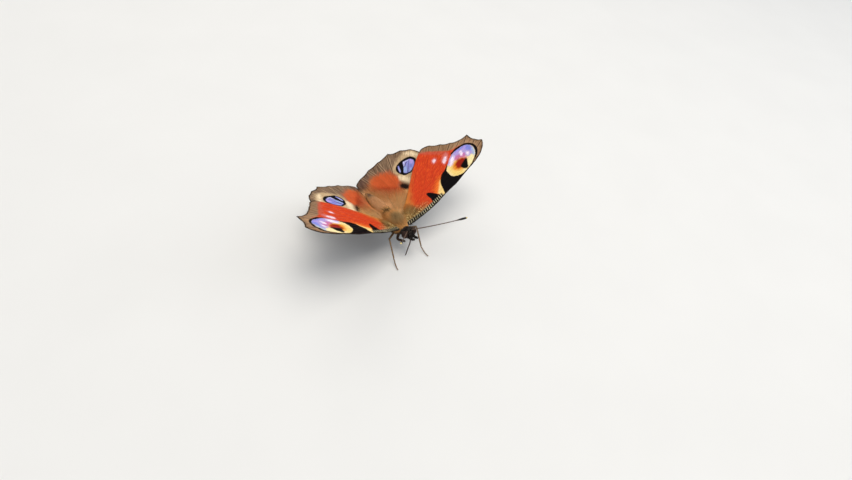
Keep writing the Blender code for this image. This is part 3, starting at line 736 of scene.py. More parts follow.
    def costa(self, paint: Paint, colour: Sock, grain: Sock, under: bool) -> Sock:
        """Returns the colour with the front edge's dashes over it, and olive dust near the wing's root."""
        if self.name != "forewing" or under:
            return colour
        run, depth, reach = (paint.value(k) for k in ("costa_run", "costa_depth", "reach"))
        band = (1.0 - (depth + (grain - 0.5) * 0.3).step(0.95, 1.3)) * (1.0 - (run + grain * 0.4).step(12.3, 12.9))
        near = 1.0 - reach.step(4.0, 9.0)
        dust_band = (1.0 - (depth + (grain - 0.5) * 1.4).step(0.8, 4.0)) * near * 0.9
        fleck = paint.noise(paint.vector("plan"), 2.6, 3.0) + (grain - 0.5) * 0.12
        colour = paint.mix(dust_band, colour, linear((136, 104, 56)))
        colour = paint.mix(dust_band * fleck.step(0.52, 0.6), colour, linear((238, 212, 146)))
        colour = paint.mix(dust_band * (1.0 - fleck.step(0.38, 0.46)), colour, linear((40, 34, 22)))
        colour = paint.mix(band, colour, linear((28, 23, 20)))
        uneven = paint.noise(paint.vector("plan"), 1.6)
        turns = (run - depth * 0.31 + (grain - 0.5) * 0.14 + uneven * 0.3) * (2 * math.pi / self.dash_pitch)
        depth = depth + (paint.noise(paint.vector("plan"), 2.2) - 0.5) * 0.7
        dashes = turns.math("SINE", turns).step(0.5, 0.85) * depth.step(0.1, 0.3) * (1.3 - uneven * 0.9)
        dashes = dashes * (0.35 + 0.65 * grain.step(0.12, 0.3)) * (0.6 + 0.4 * reach.step(3.0, 7.0))
        return paint.mix(band * dashes, colour, linear((240, 230, 188)))


@dataclass(frozen=True)
class WingPose:
    """Where a wing sits: its hinge from the thorax's middle (out, forward, up) and three angles in degrees."""

    hinge: tuple[float, float, float]
    sweep: float
    dihedral: float
    twist: float

    def turned(self) -> np.ndarray:
        """Returns the rotation: sweep about up, then dihedral, then twist."""
        s, d, t = (math.radians(v) for v in (self.sweep, -self.dihedral, self.twist))
        about_z = np.array([[math.cos(s), -math.sin(s), 0], [math.sin(s), math.cos(s), 0], [0, 0, 1]])
        about_y = np.array([[math.cos(d), 0, math.sin(d)], [0, 1, 0], [-math.sin(d), 0, math.cos(d)]])
        about_x = np.array([[1, 0, 0], [0, math.cos(t), -math.sin(t)], [0, math.sin(t), math.cos(t)]])
        return about_z @ about_y @ about_x


@dataclass(frozen=True)
class WingPlan:
    """A wing drawn flat: outline arcs (x, y, rise to the next), veins, and the way that its grid runs."""

    outline: tuple[tuple[float, float, float], ...]
    veins: tuple[Outline, ...]
    axis: tuple[float, float]

    def rim(self) -> np.ndarray:
        """Returns the outline's arcs as points, each arc a parabola over its chord."""
        corners = np.array(self.outline)
        start, chord = corners[:, :2], np.roll(corners[:, :2], -1, axis=0) - corners[:, :2]
        outward = np.stack([-chord[:, 1], chord[:, 0]], -1) / np.linalg.norm(chord, axis=1, keepdims=True)
        t = np.linspace(0, 1, 24, endpoint=False)[None, :, None]
        bow = outward[:, None] * corners[:, 2, None, None] * 4 * t * (1 - t)
        return (start[:, None] + chord[:, None] * t + bow).reshape(-1, 2)

    def grid(self, step: float) -> np.ndarray:
        """Plan points in columns that run from the hind edge to the front edge, closer where an edge is steep.

        Args:
            step: The most between two points.

        Returns:
            Points as (column, place in it, xy).
        """
        axis = np.array(self.axis) / np.linalg.norm(self.axis)
        across = np.array([-axis[1], axis[0]])
        rim = self.rim()
        rim = np.roll(rim, -int(np.argmin(rim @ axis)), axis=0)
        far = int(np.argmax(rim @ axis))
        edges = [rim[: far + 1], np.vstack([rim[far:], rim[:1]])[::-1]]
        fine = np.linspace((rim @ axis).min(), (rim @ axis).max(), 6000)
        heights = []
        for edge in edges:
            run = np.maximum.accumulate(edge @ axis) + 1e-6 * np.arange(len(edge))
            heights.append(np.interp(fine, run, edge @ across))
        low, high = sorted(heights, key=lambda h: h.mean())
        steep = np.maximum(np.abs(np.gradient(low)), np.abs(np.gradient(high)))
        length = np.concatenate([[0], np.cumsum(np.hypot(np.diff(fine), steep[1:]))])
        at = np.interp(np.linspace(0, length[-1], int(length[-1] / step)), length, fine)
        low, high = np.interp(at, fine, low), np.interp(at, fine, high)
        high = np.maximum(high, low + 0.02)
        share = np.linspace(0, 1, int((high - low).max() / step) + 1)
        place = low[:, None] + (high - low)[:, None] * share
        return at[:, None, None] * axis + place[..., None] * across

    def vein_gap(self, flat: np.ndarray) -> np.ndarray:
        """Returns each point's distance to the nearest vein."""
        lines = [spline(np.array(v), 6) for v in self.veins]
        starts, ends = (np.concatenate([line[a:b] for line in lines]) for a, b in ((0, -1), (1, None)))
        return segment_distance(flat, starts, ends)


FOREWING = WingPlan(
    outline=(
        (-1.3, 1.0, 0.3), (6.8, 6.9, -0.12), (13.0, 10.3, 0.0), (18.7, 12.85, 0.12), (23.2, 14.75, 0.08),
        (25.6, 15.0, 0.18), (28.3, 14.4, -0.15), (28.1, 12.4, -0.28), (29.2, 9.95, -0.1), (27.1, 8.3, -0.15),
        (25.7, 5.9, -0.13), (24.7, 3.2, -0.13), (23.8, 0.4, 0.3), (21.9, -1.7, 0.2), (13.0, -2.1, -0.08),
        (4.0, -1.7, 0.0), (-1.3, -1.1, 0.0),
    ),
    veins=(
        ((0.2, 0.9), (6.6, 5.6), (13.0, 10.3)),
        ((0.4, 0.7), (6.6, 4.4), (9.5, 6.1), (12.0, 7.35), (13.2, 7.9)),
        ((9.5, 6.1), (14.0, 9.6), (18.7, 12.85)),
        ((12.0, 7.35), (17.0, 10.9), (23.2, 14.75)),
        ((13.2, 7.9), (17.5, 10.0), (24.5, 13.2), (28.3, 14.4)),
        ((17.5, 10.0), (23.0, 11.6), (28.1, 12.4)),
        ((13.2, 7.9), (13.7, 7.0), (20.0, 9.1), (29.2, 9.95)),
        ((13.7, 7.0), (13.9, 5.8), (20.0, 7.1), (27.1, 8.3)),
        ((13.9, 5.8), (13.4, 4.3), (19.0, 5.3), (25.7, 5.9)),
        ((0.5, 0.2), (5.6, 1.3), (8.6, 2.2), (11.6, 3.4), (13.4, 4.3)),
        ((11.6, 3.4), (18.0, 3.6), (24.7, 3.2)),
        ((8.6, 2.2), (16.0, 1.5), (23.8, 0.4)),
        ((0.4, -0.3), (10.0, -0.7), (21.9, -1.7)),
    ),
    axis=(0.85, 0.53),
)
HINDWING = WingPlan(
    outline=(
        (-1.2, 2.0, 0.1), (3.0, 3.3, 0.2), (8.0, 3.4, 0.35), (14.0, 1.5, 0.4), (19.3, -2.2, 0.15), (20.2, -3.6, 0.1),
        (20.1, -6.2, -0.08), (18.9, -8.8, -0.08), (17.35, -10.4, -0.09), (16.85, -11.8, -0.08), (15.3, -12.4, -0.1),
        (13.3, -13.4, -0.1), (10.2, -14.85, -0.1), (7.4, -15.6, 0.2), (4.8, -16.0, 0.05), (3.3, -14.2, 0.0),
        (2.1, -12.0, 0.0), (0.9, -4.4, 0.0), (-1.2, -1.6, 0.0),
    ),
    veins=(
        ((0.3, 0.3), (5.0, 1.8), (12.0, 1.2), (19.3, -2.2)),
        ((0.4, 0.0), (6.6, -0.3), (13.2, -1.6), (20.2, -3.6)),
        ((6.6, -0.3), (8.0, -1.3), (13.7, -3.6), (20.1, -6.2)),
        ((8.0, -1.3), (8.3, -3.0), (13.2, -5.8), (18.9, -8.8)),
        ((8.3, -3.0), (7.8, -4.6), (12.2, -8.2), (16.9, -12.2)),
        ((7.8, -4.6), (10.7, -9.2), (13.3, -13.6)),
        ((0.4, -0.5), (3.4, -2.4), (5.6, -3.7), (7.8, -4.6)),
        ((5.6, -3.7), (8.4, -9.6), (10.2, -14.85)),
        ((0.3, -1.0), (4.6, -7.0), (7.4, -15.6)),
    ),
    axis=(0.72, -0.69),
)
FOREWING_POSES = {
    "left": WingPose((2.3, 1.6, 1.5), -38.6, 19.1, 11.9),
    "right": WingPose((2.3, 1.6, 1.5), -27.8, 23.9, 19.6),
}
HINDWING_POSES = {
    "left": WingPose((2.2, -1.2, 0.9), -28.1, 22.7, 13.3),
    "right": WingPose((2.2, -1.2, 0.9), -26.2, 17.8, 12.6),
}


def to_row(points: np.ndarray, side: float) -> np.ndarray:
    """Returns (out, forward, up) from the thorax's middle in the part's own frame."""
    return np.stack([side * points[..., 0], -points[..., 1], points[..., 2]], -1) + BODY_CENTRE


@dataclass
class Wing:
    """One wing: a thin closed membrane with raised veins and pleats, fringe scales and long hair at its base."""

    name: str
    side: float
    plan: WingPlan
    pose: WingPose
    over: WingPose  # the forewing that a hindwing tucks under
    finish: WingFinish
    hair_zone: Outline
    hair_count: int
    hair: TuftShape = TuftShape(1.9, 0.06, 9, stations=3)
    golden: float = 0.6  # share of the hair's own colour over the wing's
    step: float = 0.15
    thickness: float = 0.13
    root_thickness: float = 0.6
    root_reach: float = 1.7
    vein_height: float = 0.05
    vein_foot: float = 0.22
    pleat: float = 0.09
    camber: float = 0.55
    tuck: float = 0.85
    shift: tuple[float, float] = (0.0, 0.0)  # how far the markings lie from their usual place

    def arch(self, flat: np.ndarray) -> np.ndarray:
        """Returns the forewing's shallow arch along the span, deepest towards the inner margin."""
        span = np.clip(flat[:, 0] / 26.0, 0, 1)
        return self.camber * 4 * span * (1 - span) * np.clip((10.0 - flat[:, 1]) / 12.0, 0, 1.2)

    def pleats(self, flat: np.ndarray) -> np.ndarray:
        """Returns how far the membrane dips between its veins: a bell curve of the distance to one."""
        fade = smooth_step(np.linalg.norm(flat, axis=1), 2.0, 9.0)
        return -self.pleat * fade * (1 - np.exp(-((self.plan.vein_gap(flat) / 0.8) ** 2)))

    def middle(self, flat: np.ndarray) -> np.ndarray:
        """The wing's middle surface over its plan, before the pleats.

        Args:
            flat: Points of the plan.

        Returns:
            Points (out, forward, up). The hindwing's inner margin turns down along the abdomen, and its
            front is pressed under the forewing by a soft limit.
        """
        turn = self.pose.turned()
        if self.plan is FOREWING:
            return np.column_stack([flat, self.arch(flat)]) @ turn.T + self.pose.hinge
        x, y = flat.T
        gutter = 0.5 * smooth_step(1.6 - (x + 0.38 * y), 0, 2.2) * smooth_step(-y, 3.0, 7.0)
        gutter *= 1 - smooth_step(-y, 12.0, 16.0)
        points = np.column_stack([flat, -gutter]) @ turn.T + self.pose.hinge
        fore = self.over.turned()
        local = (points - self.over.hinge) @ fore
        above = local[:, 2] - self.arch(local[:, :2]) + self.tuck
        local[:, 2] -= 0.5 * (above + np.sqrt(above**2 + 0.04)) * smooth_step(local[:, 1], -6.5, -3.2)
        return local @ fore.T + self.over.hinge

    def normals(self, flat: np.ndarray) -> np.ndarray:
        """Returns the middle surface's normals, from its slopes along x and y of the plan."""
        here = self.middle(flat)
        return unit(np.cross(self.middle(flat + [0.05, 0]) - here, self.middle(flat + [0, 0.05]) - here))

    def values(self, flat: np.ndarray) -> dict[str, np.ndarray]:
        """Returns what the paint reads at points of the plan."""
        radius, angle = np.linalg.norm(flat + [1.5, 0], axis=1), np.arctan2(flat[:, 1], flat[:, 0] + 1.5)
        rim = self.plan.rim()
        reach = np.linalg.norm(flat, axis=1)
        found = self.finish.values(flat - self.shift)
        found["plan"] = np.column_stack([flat, np.zeros(len(flat))])
        found["ray"] = np.column_stack([angle * 14.0, radius, np.full(len(flat), 3.0 * self.side)])
        found["vein"] = self.plan.vein_gap(flat)
        found["rim"] = segment_distance(flat, rim, np.roll(rim, -1, axis=0))
        found["rim"] += 0.5 * (1 - smooth_step(reach, 4.0, 9.0)) + self.bare_margin(flat)
        found["reach"] = reach
        if self.plan is FOREWING:
            outer = smooth_step(found["up_band"], -0.3, 0.5) * (1 - smooth_step(found["up_ring"], -0.2, 0.05))
            found["vein_tone"] = 0.10 + 0.6 * outer
            front = rim[: 24 * 5]
            run = np.concatenate([[0], np.cumsum(np.linalg.norm(np.diff(front, axis=0), axis=1))])
            nearest = np.argmin(((flat[:, None] - front[None, ::2]) ** 2).sum(-1), axis=1)
            found["costa_run"] = run[::2][nearest] + np.einsum(
                "ij,ij->i", flat - front[::2][nearest], unit(np.gradient(front, axis=0))[::2][nearest]
            )
            found["costa_depth"] = segment_distance(flat, front[:-1], front[1:])
        else:
            outer = smooth_step(reach, 11.0, 14.0) * (1 - smooth_step(found["up_eye"], -0.3, 0.0))
            outer *= 1 - 0.7 * smooth_step(found["up_cream"], -0.2, 0.8)
            outer *= 1 - smooth_step(found["up_rust"], -0.6, 0.4)
            found["vein_tone"] = 0.12 + 0.5 * outer
        found["outer"] = outer
        return found

    def bare_margin(self, flat: np.ndarray) -> np.ndarray:
        """Returns how far the forewing's inner margin loses its dark line: 0.6 along it, fading round its corner."""
        if self.plan is HINDWING:
            return np.zeros(len(flat))
        return 0.6 * (1 - smooth_step(flat[:, 1], -1.6, -0.6)) * (1 - smooth_step(flat[:, 0], 20.0, 22.0))

    def map_places(self, flat: np.ndarray, under: bool = False) -> np.ndarray:
        """Returns places on the map: the plan itself, the upper side in its upper half."""
        rim = self.plan.rim()
        low, high = rim.min(axis=0), rim.max(axis=0)
        share = (flat - low) / (high - low)
        return share * [0.96, 0.46] + [0.02, 0.02 if under else 0.52]

    def build(self, paints: dict[Coating, bpy.types.Material], rng: np.random.Generator) -> None:
        """Makes the membrane, its fringe and its hair.

        Args:
            paints: The finish's materials.
            rng: The random numbers.
        """
        grid = self.plan.grid(self.step)
        columns, rows = grid.shape[:2]
        flat = grid.reshape(-1, 2)
        values = self.values(flat)
        reach = np.linalg.norm(flat, axis=1)
        ridge = self.vein_height * np.exp(-((values["vein"] / self.vein_foot) ** 2))
        ridge *= smooth_step(values["rim"], 0.0, 0.8)
        half = self.thickness / 2 + ridge
        half += (self.root_thickness - self.thickness) / 2 * np.exp(-((reach / self.root_reach) ** 2))
        normals = self.normals(flat)
        middle = self.middle(flat) + normals * self.pleats(flat)[:, None]
        sheets = [middle + normals * half[:, None], middle - normals * half[:, None]]
        faces, shares = grid_faces(columns, rows, False)
        count = len(flat)
        border = np.concatenate([
            np.arange(columns) * rows,
            (columns - 1) * rows + np.arange(1, rows),
            np.arange(columns - 2, -1, -1) * rows + rows - 1,
            np.arange(rows - 2, 0, -1),
        ])
        a, b = border, np.roll(border, -1)
        rim_faces = np.concatenate([np.stack([a, a + count, b], -1), np.stack([b, a + count, b + count], -1)])
        upper, lower = self.map_places(flat), self.map_places(flat, under=True)
        rim_places = np.vstack([upper, upper])
        shell = Shell(
            to_row(np.vstack(sheets), self.side),
            np.vstack([faces, faces[:, ::-1] + count, rim_faces[:, ::-1]]),
            np.concatenate([upper[faces], lower[faces[:, ::-1]], rim_places[rim_faces[:, ::-1]]]),
            {label: np.concatenate([value, value]) for label, value in values.items()},
            np.repeat([0, 1, 0], [len(faces), len(faces), len(rim_faces)]),
        ).facing_out()
        slot = f"{self.finish.name}_scales"
        shell.piece(f"{self.name}_wing", [paints[Coating.SCALES], paints[Coating.UNDER]], slot, [self.name])
        joined([self.fringe(rng), self.base_hair(rng)]).piece(f"{self.name}_hair", [paints[Coating.HAIR]], slot, [])

    def on_surface(self, flat: np.ndarray, heading: np.ndarray) -> tuple[np.ndarray, np.ndarray, np.ndarray]:
        """Returns points on the middle surface, its normals and the way that a plan heading takes there."""
        points, normals = self.middle(flat), self.normals(flat)
        lies = self.middle(flat + unit(heading) * 0.05) - points
        base = np.zeros(3)
        row = [to_row(points + normals * self.pleats(flat)[:, None], self.side)]
        row += [to_row(v, self.side) - to_row(base, self.side) for v in (normals, unit(lies))]
        return row[0], row[1], row[2]

    def fringe(self, rng: np.random.Generator) -> Shell:
        """Returns the fringe: short blades that stand out from the outer and inner margins."""
        rim = self.plan.rim()
        ends = np.vstack([rim[1:], rim[:1]])
        lengths = np.linalg.norm(ends - rim, axis=1)
        run = np.concatenate([[0], np.cumsum(lengths)])
        at = np.arange(0, run[-1], 0.035)
        loop = np.vstack([rim, rim[:1]])
        flat = np.stack([np.interp(at, run, loop[:, k]) for k in (0, 1)], -1)
        tangent = unit(np.roll(flat, -2, axis=0) - np.roll(flat, 2, axis=0))
        outward = np.stack([-tangent[:, 1], tangent[:, 0]], -1)
        reach = np.linalg.norm(flat, axis=1)
        front = (at < run[24 * 5]) if self.plan is FOREWING else (flat[:, 1] > -3.0) & (flat[:, 0] < 18)
        flat, outward, reach = (v[(reach > 4) & ~front] for v in (flat, outward, reach))
        root = flat - outward * 0.12
        points, normals, lies = self.on_surface(root, outward + 0.10 * rng.normal(0, 1, outward.shape))
        shape = TuftShape(0.26, 0.07, 3, stations=1, sink=0.0, spread=0.2)
        values = self.values(flat)
        values["rim"] = rng.uniform(0.0, 0.42, len(flat)) + self.bare_margin(flat)
        values["golden"] = 0.35 * rng.uniform(0.0, 1.0, len(flat))
        return shape.grow(points, normals, lies, self.map_places(root), values, rng)

    def base_hair(self, rng: np.random.Generator) -> Shell:
        """Returns the long hair that fans out from the hinge over the upper side, shorter towards its edge."""
        zone = np.array(self.hair_zone, float)
        ring = spline(zone, 4, closed=True)
        low, high = ring.min(axis=0), ring.max(axis=0)
        flat = rng.uniform(low, high, (self.hair_count * 6, 2))
        deep = depth_in(flat, (self.hair_zone,))
        keep = (rng.uniform(0, 1, len(flat)) < smooth_step(deep, -1.6, 3.4)) & inside(flat, self.plan.rim())
        flat, deep = flat[keep][: self.hair_count], deep[keep][: self.hair_count]
        points, normals, lies = self.on_surface(flat, flat + [1.0, 0.0])
        points = points + normals * self.thickness / 2
        scale = 0.45 + 0.55 * smooth_step(deep, -0.6, 2.0)
        values = self.values(flat)
        values["golden"] = self.golden * rng.uniform(0.6, 1.0, len(flat)) * (0.95 * smooth_step(deep, 0.3, 5.6))
        return self.hair.grow(points, normals, lies, self.map_places(flat), values, rng, scale)


@dataclass(frozen=True)
class FurFinish:
    """The body's hair: ginger with an olive middle, near-black on the face, duller under the body."""

    ginger: Colour = (236, 176, 106)
    deep: Colour = (186, 124, 62)
    olive: Colour = (176, 142, 94)
    # A dark olive spot at the back of the thorax, darkened further as painted shade of the notch before the abdomen.
    notch_spot_and_painted_shade: Colour = (98, 80, 46)
    tan: Colour = (226, 170, 118)
    dark: Colour = (34, 28, 27)
    fleck: Colour = (128, 118, 106)
    belly: Colour = (96, 68, 50)
    smudge: Colour = (120, 92, 72)

    def marks(self, local: np.ndarray) -> dict[str, np.ndarray]:
        """The body's colours by place.

        Args:
            local: Points from the thorax's middle in the part's frame, x to the left and y backwards.

        Returns:
            The share of each colour.
        """
        x, y, z = local.T
        top = smooth_step(z, -0.2, 1.0)
        middle = np.exp(-((x / 1.25) ** 2) - ((y + 1.2) / 1.7) ** 2)
        spot = np.exp(-((x / 1.15) ** 2) - ((y - 3.0) / 1.0) ** 2)
        return {
            "olive": np.clip(1.2 * middle, 0, 1) * top,
            "deep": 0.75 * np.exp(-((np.hypot(x / 1.7, (y - 0.1) / 2.6) - 1) ** 2) / 0.07) * top,
            "tan": smooth_step(y, 3.6, 5.5) * top,
            # The dark olive spot at the thorax's back, with painted shade of the notch before the abdomen.
            "notch_spot_and_painted_shade": np.clip(1.3 * spot, 0, 1) * top,
            "belly": (1 - smooth_step(z, -1.0, 0.7)) * smooth_step(y, -3.4, -2.6),
            "tail": smooth_step(y, 9.0, 11.6) * top,
            "dark": 1 - smooth_step(y + 0.35 * z, -3.4, -2.7),
        }

    def material(self, name: str, hair: bool) -> bpy.types.Material:
        """Returns the paint for the skin, or for the hair on it."""
        paint = Paint(name)
        place = paint.place()
        patchy = paint.noise(place, 900.0, 3.0)
        tint = paint.value("tint") * 0.5 + 0.5 if hair else paint.noise(place, 9000.0)
        colour = linear(self.ginger)
        layers = (("deep", self.deep), ("olive", self.olive), ("tan", self.tan), ("notch_spot_and_painted_shade", self.notch_spot_and_painted_shade), ("tail", self.smudge), ("belly", self.belly))
        for label, tone in layers:
            colour = paint.mix((paint.value(label) + (patchy - 0.5) * 0.25).step(0.05, 0.95), colour, linear(tone))
        dark = paint.value("dark").step(0.2, 0.8)
        colour = paint.mix(dark, colour, linear(self.dark))
        colour = paint.mix(dark * tint.step(0.84, 0.9) * 0.8, colour, linear(self.fleck))
        shade = 0.76 + tint * 0.34 + (patchy - 0.5) * 0.3
        if hair:
            # Painted light: each tuft is lighter towards its tip and darker at its root, as if its root lay in shade
            # among the others.
            shade = shade + paint.value("along") * 0.12
        colour = paint.mix(1.0, colour, shade, "MULTIPLY")
        if hair:
            return paint.finish(colour, 0.6, fixed={"Specular IOR Level": 0.2})
        return paint.finish(colour, 0.85, patchy, 0.05, {"Specular IOR Level": 0.1})


@dataclass
class Body:
    """Head, thorax and abdomen under one skin, with their coat."""

    fur: FurFinish = FurFinish()
    profile: tuple[tuple[float, float, float, float], ...] = (  # y, half width, half height, middle's height
        (-6.22, 0.30, 0.28, 0.76), (-6.0, 0.72, 0.64, 0.80), (-5.4, 1.14, 1.02, 0.90), (-4.75, 1.28, 1.14, 0.95),
        (-4.2, 1.14, 1.04, 0.85), (-3.7, 0.90, 0.88, 0.65), (-3.3, 0.98, 0.98, 0.48), (-2.6, 1.45, 1.40, 0.25),
        (-1.4, 1.92, 1.86, 0.08), (0.0, 2.10, 2.06, 0.0), (1.4, 2.00, 1.96, 0.0), (2.5, 1.62, 1.62, 0.05),
        (3.3, 1.20, 1.18, 0.10), (3.8, 1.18, 1.10, 0.09), (4.6, 1.46, 1.36, 0.05), (6.2, 1.60, 1.50, -0.05),
        (8.4, 1.50, 1.41, -0.15), (10.4, 1.17, 1.11, -0.22), (12.0, 0.73, 0.71, -0.22), (12.9, 0.26, 0.30, -0.18),
    )
    segments: int = 8
    waist: float = 3.6
    rings: int = 300
    sides: int = 96

    def surface(self, share: np.ndarray, angle: np.ndarray) -> np.ndarray:
        """The skin: at each share of the length an ellipse, stepped at the abdomen's segments.

        Args:
            share: 0 at the face, 1 at the tail.
            angle: Round the body in radians, 0 at its left.

        Returns:
            Points from the thorax's middle in the part's frame.
        """
        table = spline(np.array(self.profile), 12)
        y = table[0, 0] + share * (table[-1, 0] - table[0, 0])
        wide, high, middle = (np.interp(y, table[:, 0], table[:, k]) for k in (1, 2, 3))
        ring = np.clip((y - self.waist) / (table[-1, 0] - self.waist), 0, 1) * self.segments
        step = 1 + 0.05 * ((ring % 1.0) ** 3 - 0.4) * smooth_step(ring, 0.3, 1.0)
        scutum = 1 + 0.05 * np.exp(-((y - 0.4) / 2.0) ** 2) * np.sin(angle).clip(0) * np.cos(2 * angle) ** 2
        return np.stack([wide * step * np.cos(angle), y, middle + high * step * scutum * np.sin(angle)], -1)

    def build(self, rng: np.random.Generator) -> None:
        """Makes the skin and the coats of thorax, abdomen and head."""
        share, angle = np.meshgrid(np.linspace(0, 1, self.rings), np.arange(self.sides) * 2 * math.pi / self.sides, indexing="ij")
        skin = closed_loft(self.surface(share, angle))
        skin.values = self.fur.marks(skin.points)
        skin.points = skin.points + BODY_CENTRE
        skin_paint, hair_paint = self.fur.material("body_skin", False), self.fur.material("body_fur", True)
        skin.piece("body_skin", [skin_paint], "thorax_hair", ["thorax", "abdomen", "head"])
        self.coat("thorax_coat", (-3.2, 3.7), 12000, TuftShape(1.15, 0.08, 24, stations=3), 1.6, rng).piece(
            "thorax_coat", [hair_paint], "thorax_hair", []
        )
        self.coat("abdomen_coat", (3.5, 12.95), 14000, TuftShape(0.68, 0.07, 10, stations=2), 1.25, rng).piece(
            "abdomen_coat", [hair_paint], "abdomen_hair", []
        )
        self.coat("head_coat", (-6.2, -2.9), 8500, TuftShape(0.5, 0.06, 42, stations=2), 1.2, rng).piece(
            "head_coat", [hair_paint], "face_hair", []
        )

    def coat(
        self,
        name: str,
        reach: tuple[float, float],
        count: int,
        shape: TuftShape,
        on_top: float,
        rng: np.random.Generator,
    ) -> Shell:
        """Tufts over a stretch of the body, spread evenly by the skin's own area, lying backwards.

        Args:
            name: The coat.
            reach: From and to along the body.
            count: Tufts.
            shape: Their form.
            on_top: How much longer they are on the back than below.
            rng: The random numbers.

        Returns:
            The tufts.
        """
        front, back = self.profile[0][0], self.profile[-1][0]
        share = (rng.uniform(*reach, count * 4) - front) / (back - front)
        angle = rng.uniform(0, 2 * math.pi, count * 4)
        here = self.surface(share, angle)
        along = self.surface(share + 0.002, angle) - here
        across = self.surface(share, angle + 0.02) - here
        area = np.linalg.norm(np.cross(along, across), axis=1)
        eyes = np.stack([np.abs(here[:, 0]), here[:, 1], here[:, 2]], -1) - Eye.centre
        clear = np.linalg.norm(eyes / (np.array(Eye.radii) * 1.02), axis=1) > 1
        keep = clear & (rng.uniform(0, 1, len(area)) < area / np.quantile(area, 0.98))
        pick = np.flatnonzero(keep)[:count]
        here, along, across = here[pick], along[pick], across[pick]
        normals = unit(np.cross(across, along))
        normals *= np.sign(np.einsum("ij,ij->i", normals, here - [0, 0, 0.3] - here * [0, 1, 0]))[:, None]
        lies = unit(along)
        if name == "thorax_coat":
            lies = lies + np.stack([0.45 * np.tanh(here[:, 0]), np.zeros(len(here)), np.zeros(len(here))], -1)
        if name == "head_coat":
            lies = lies * np.where(here[:, 1] < -5.3, -0.6, 0.8)[:, None] + [0, 0, 0.5]
        scale = 1 + (on_top - 1) * smooth_step(here[:, 2], -0.5, 1.2)
        places = np.stack([angle[pick] / (2 * math.pi), share[pick]], -1)
        return shape.grow(here + BODY_CENTRE, normals, lies, places, self.fur.marks(here), rng, scale)


class Eye:
    """A compound eye: an ellipsoid whose facets are small domes round points spread evenly by the golden angle."""

    centre = (1.42, -5.05, 1.00)
    radii = (0.80, 0.93, 1.03)
    facets = 950
    dome = 0.03

    def build(self, label: str, side: float, material: bpy.types.Material) -> None:
        """Makes the eye on one side."""
        rows, sides = 120, 160
        lat, lon = np.meshgrid(np.linspace(0.012, math.pi - 0.012, rows), np.arange(sides) * 2 * math.pi / sides, indexing="ij")
        ball = np.stack([np.cos(lat), np.sin(lat) * np.cos(lon), np.sin(lat) * np.sin(lon)], -1)
        shell = closed_loft(ball)
        k = np.arange(self.facets) + 0.5
        polar, turn = np.arccos(1 - 2 * k / self.facets), k * math.pi * (3 - math.sqrt(5))
        seeds = np.stack([np.cos(polar), np.sin(polar) * np.cos(turn), np.sin(polar) * np.sin(turn)], -1)
        nearest = np.arccos(np.clip((unit(shell.points) @ seeds.T).max(axis=1), -1, 1))
        pitch = math.sqrt(4 * math.pi / self.facets)
        shell.values = {"facet": nearest / pitch}
        raised = 1 - self.dome * (nearest / pitch) ** 2 * 4
        centre = np.array(self.centre) * [side, 1, 1] + BODY_CENTRE
        shell.points = shell.points * raised[:, None] * self.radii + centre
        shell.facing_out().piece(f"compound_eye_{label}", [material], "eye", [f"eye_{label}"])

    @staticmethod
    def material() -> bpy.types.Material:
        """Returns dark brown horn, darker between the facets, with a dull shine."""
        paint = Paint("eye_facets")
        facet = paint.value("facet")
        mottle = paint.noise(paint.place(), 2500.0)
        colour = paint.mix(mottle, linear((38, 24, 18)), linear((74, 47, 34)))
        colour = paint.mix(facet.step(0.32, 0.55), colour, linear((14, 9, 9)))
        return paint.finish(colour, 0.3 + facet * 0.3, fixed={"Specular IOR Level": 0.2})


@dataclass(frozen=True)
class Antenna:
    """A feeler: a ringed shaft that swells into a flattened club with a pale tip."""

    root: tuple[float, float, float]
    direction: tuple[float, float, float]
    length: float
    droop: float = 0.35
    shaft: float = 0.115
    club: float = 0.33
    rings: int = 42

    def build(self, label: str, side: float, material: bpy.types.Material) -> None:
        """Makes the feeler: each joint's radius swells by a sine, and the club by a smooth step."""
        along = unit(np.array(self.direction))
        u = np.linspace(-0.03, 1.0, 420)
        path = np.array(self.root) + along * self.length * u[:, None]
        path[:, 2] -= self.droop * 4 * u * (1 - u)
        club = smooth_step(u, 0.78, 0.93) * np.sqrt(np.clip((1.004 - u) / 0.06, 0, 1))
        ring = (u * self.rings) % 1.0
        joint = 1 + 0.10 * np.sin(math.pi * ring) ** 0.5 * (1 - 0.6 * club)
        radius = (self.shaft * (1.15 - 0.3 * np.clip(u, 0, 0.8)) + (self.club - self.shaft) * club) * joint
        radius *= np.sqrt(np.clip((1.003 - u) / 0.02, 0, 1))
        radius += 0.06 * np.exp(-((u - 0.012) / 0.012) ** 2)
        shell = tube(to_row(path, side), np.stack([radius, radius * (1 - 0.22 * club)], -1), 16, (0, 0, 1))
        per = np.append(np.repeat(u, 16), [u[0], u[-1]])
        shell.values = {"along": per, "ring": (per * self.rings) % 1.0, "club": np.append(np.repeat(club, 16), [0, 0])}
        shell.piece(f"feeler_{label}", [material], "antenna", [f"antenna_{label}"])

    @staticmethod
    def material() -> bpy.types.Material:
        """Returns dark brown horn with a pale ring at each joint of the shaft, a black club and a buff tip."""
        paint = Paint("feeler_horn")
        along, ring, club = (paint.value(k) for k in ("along", "ring", "club"))
        scales = paint.noise(paint.place(), 9000.0)
        colour = paint.mix(scales, linear((58, 38, 28)), linear((92, 64, 46)))
        pale = (1.0 - ring.step(0.12, 0.24)) * (1.0 - club.step(0.1, 0.4)) * 0.5
        colour = paint.mix(pale, colour, linear((196, 178, 146)))
        colour = paint.mix(club.step(0.15, 0.6), colour, linear((20, 16, 16)))
        colour = paint.mix((along + (scales - 0.5) * 0.012).step(0.972, 0.984), colour, linear((226, 206, 140)))
        return paint.finish(colour, 0.42 + scales * 0.2, scales, 0.012, {"Specular IOR Level": 0.5})


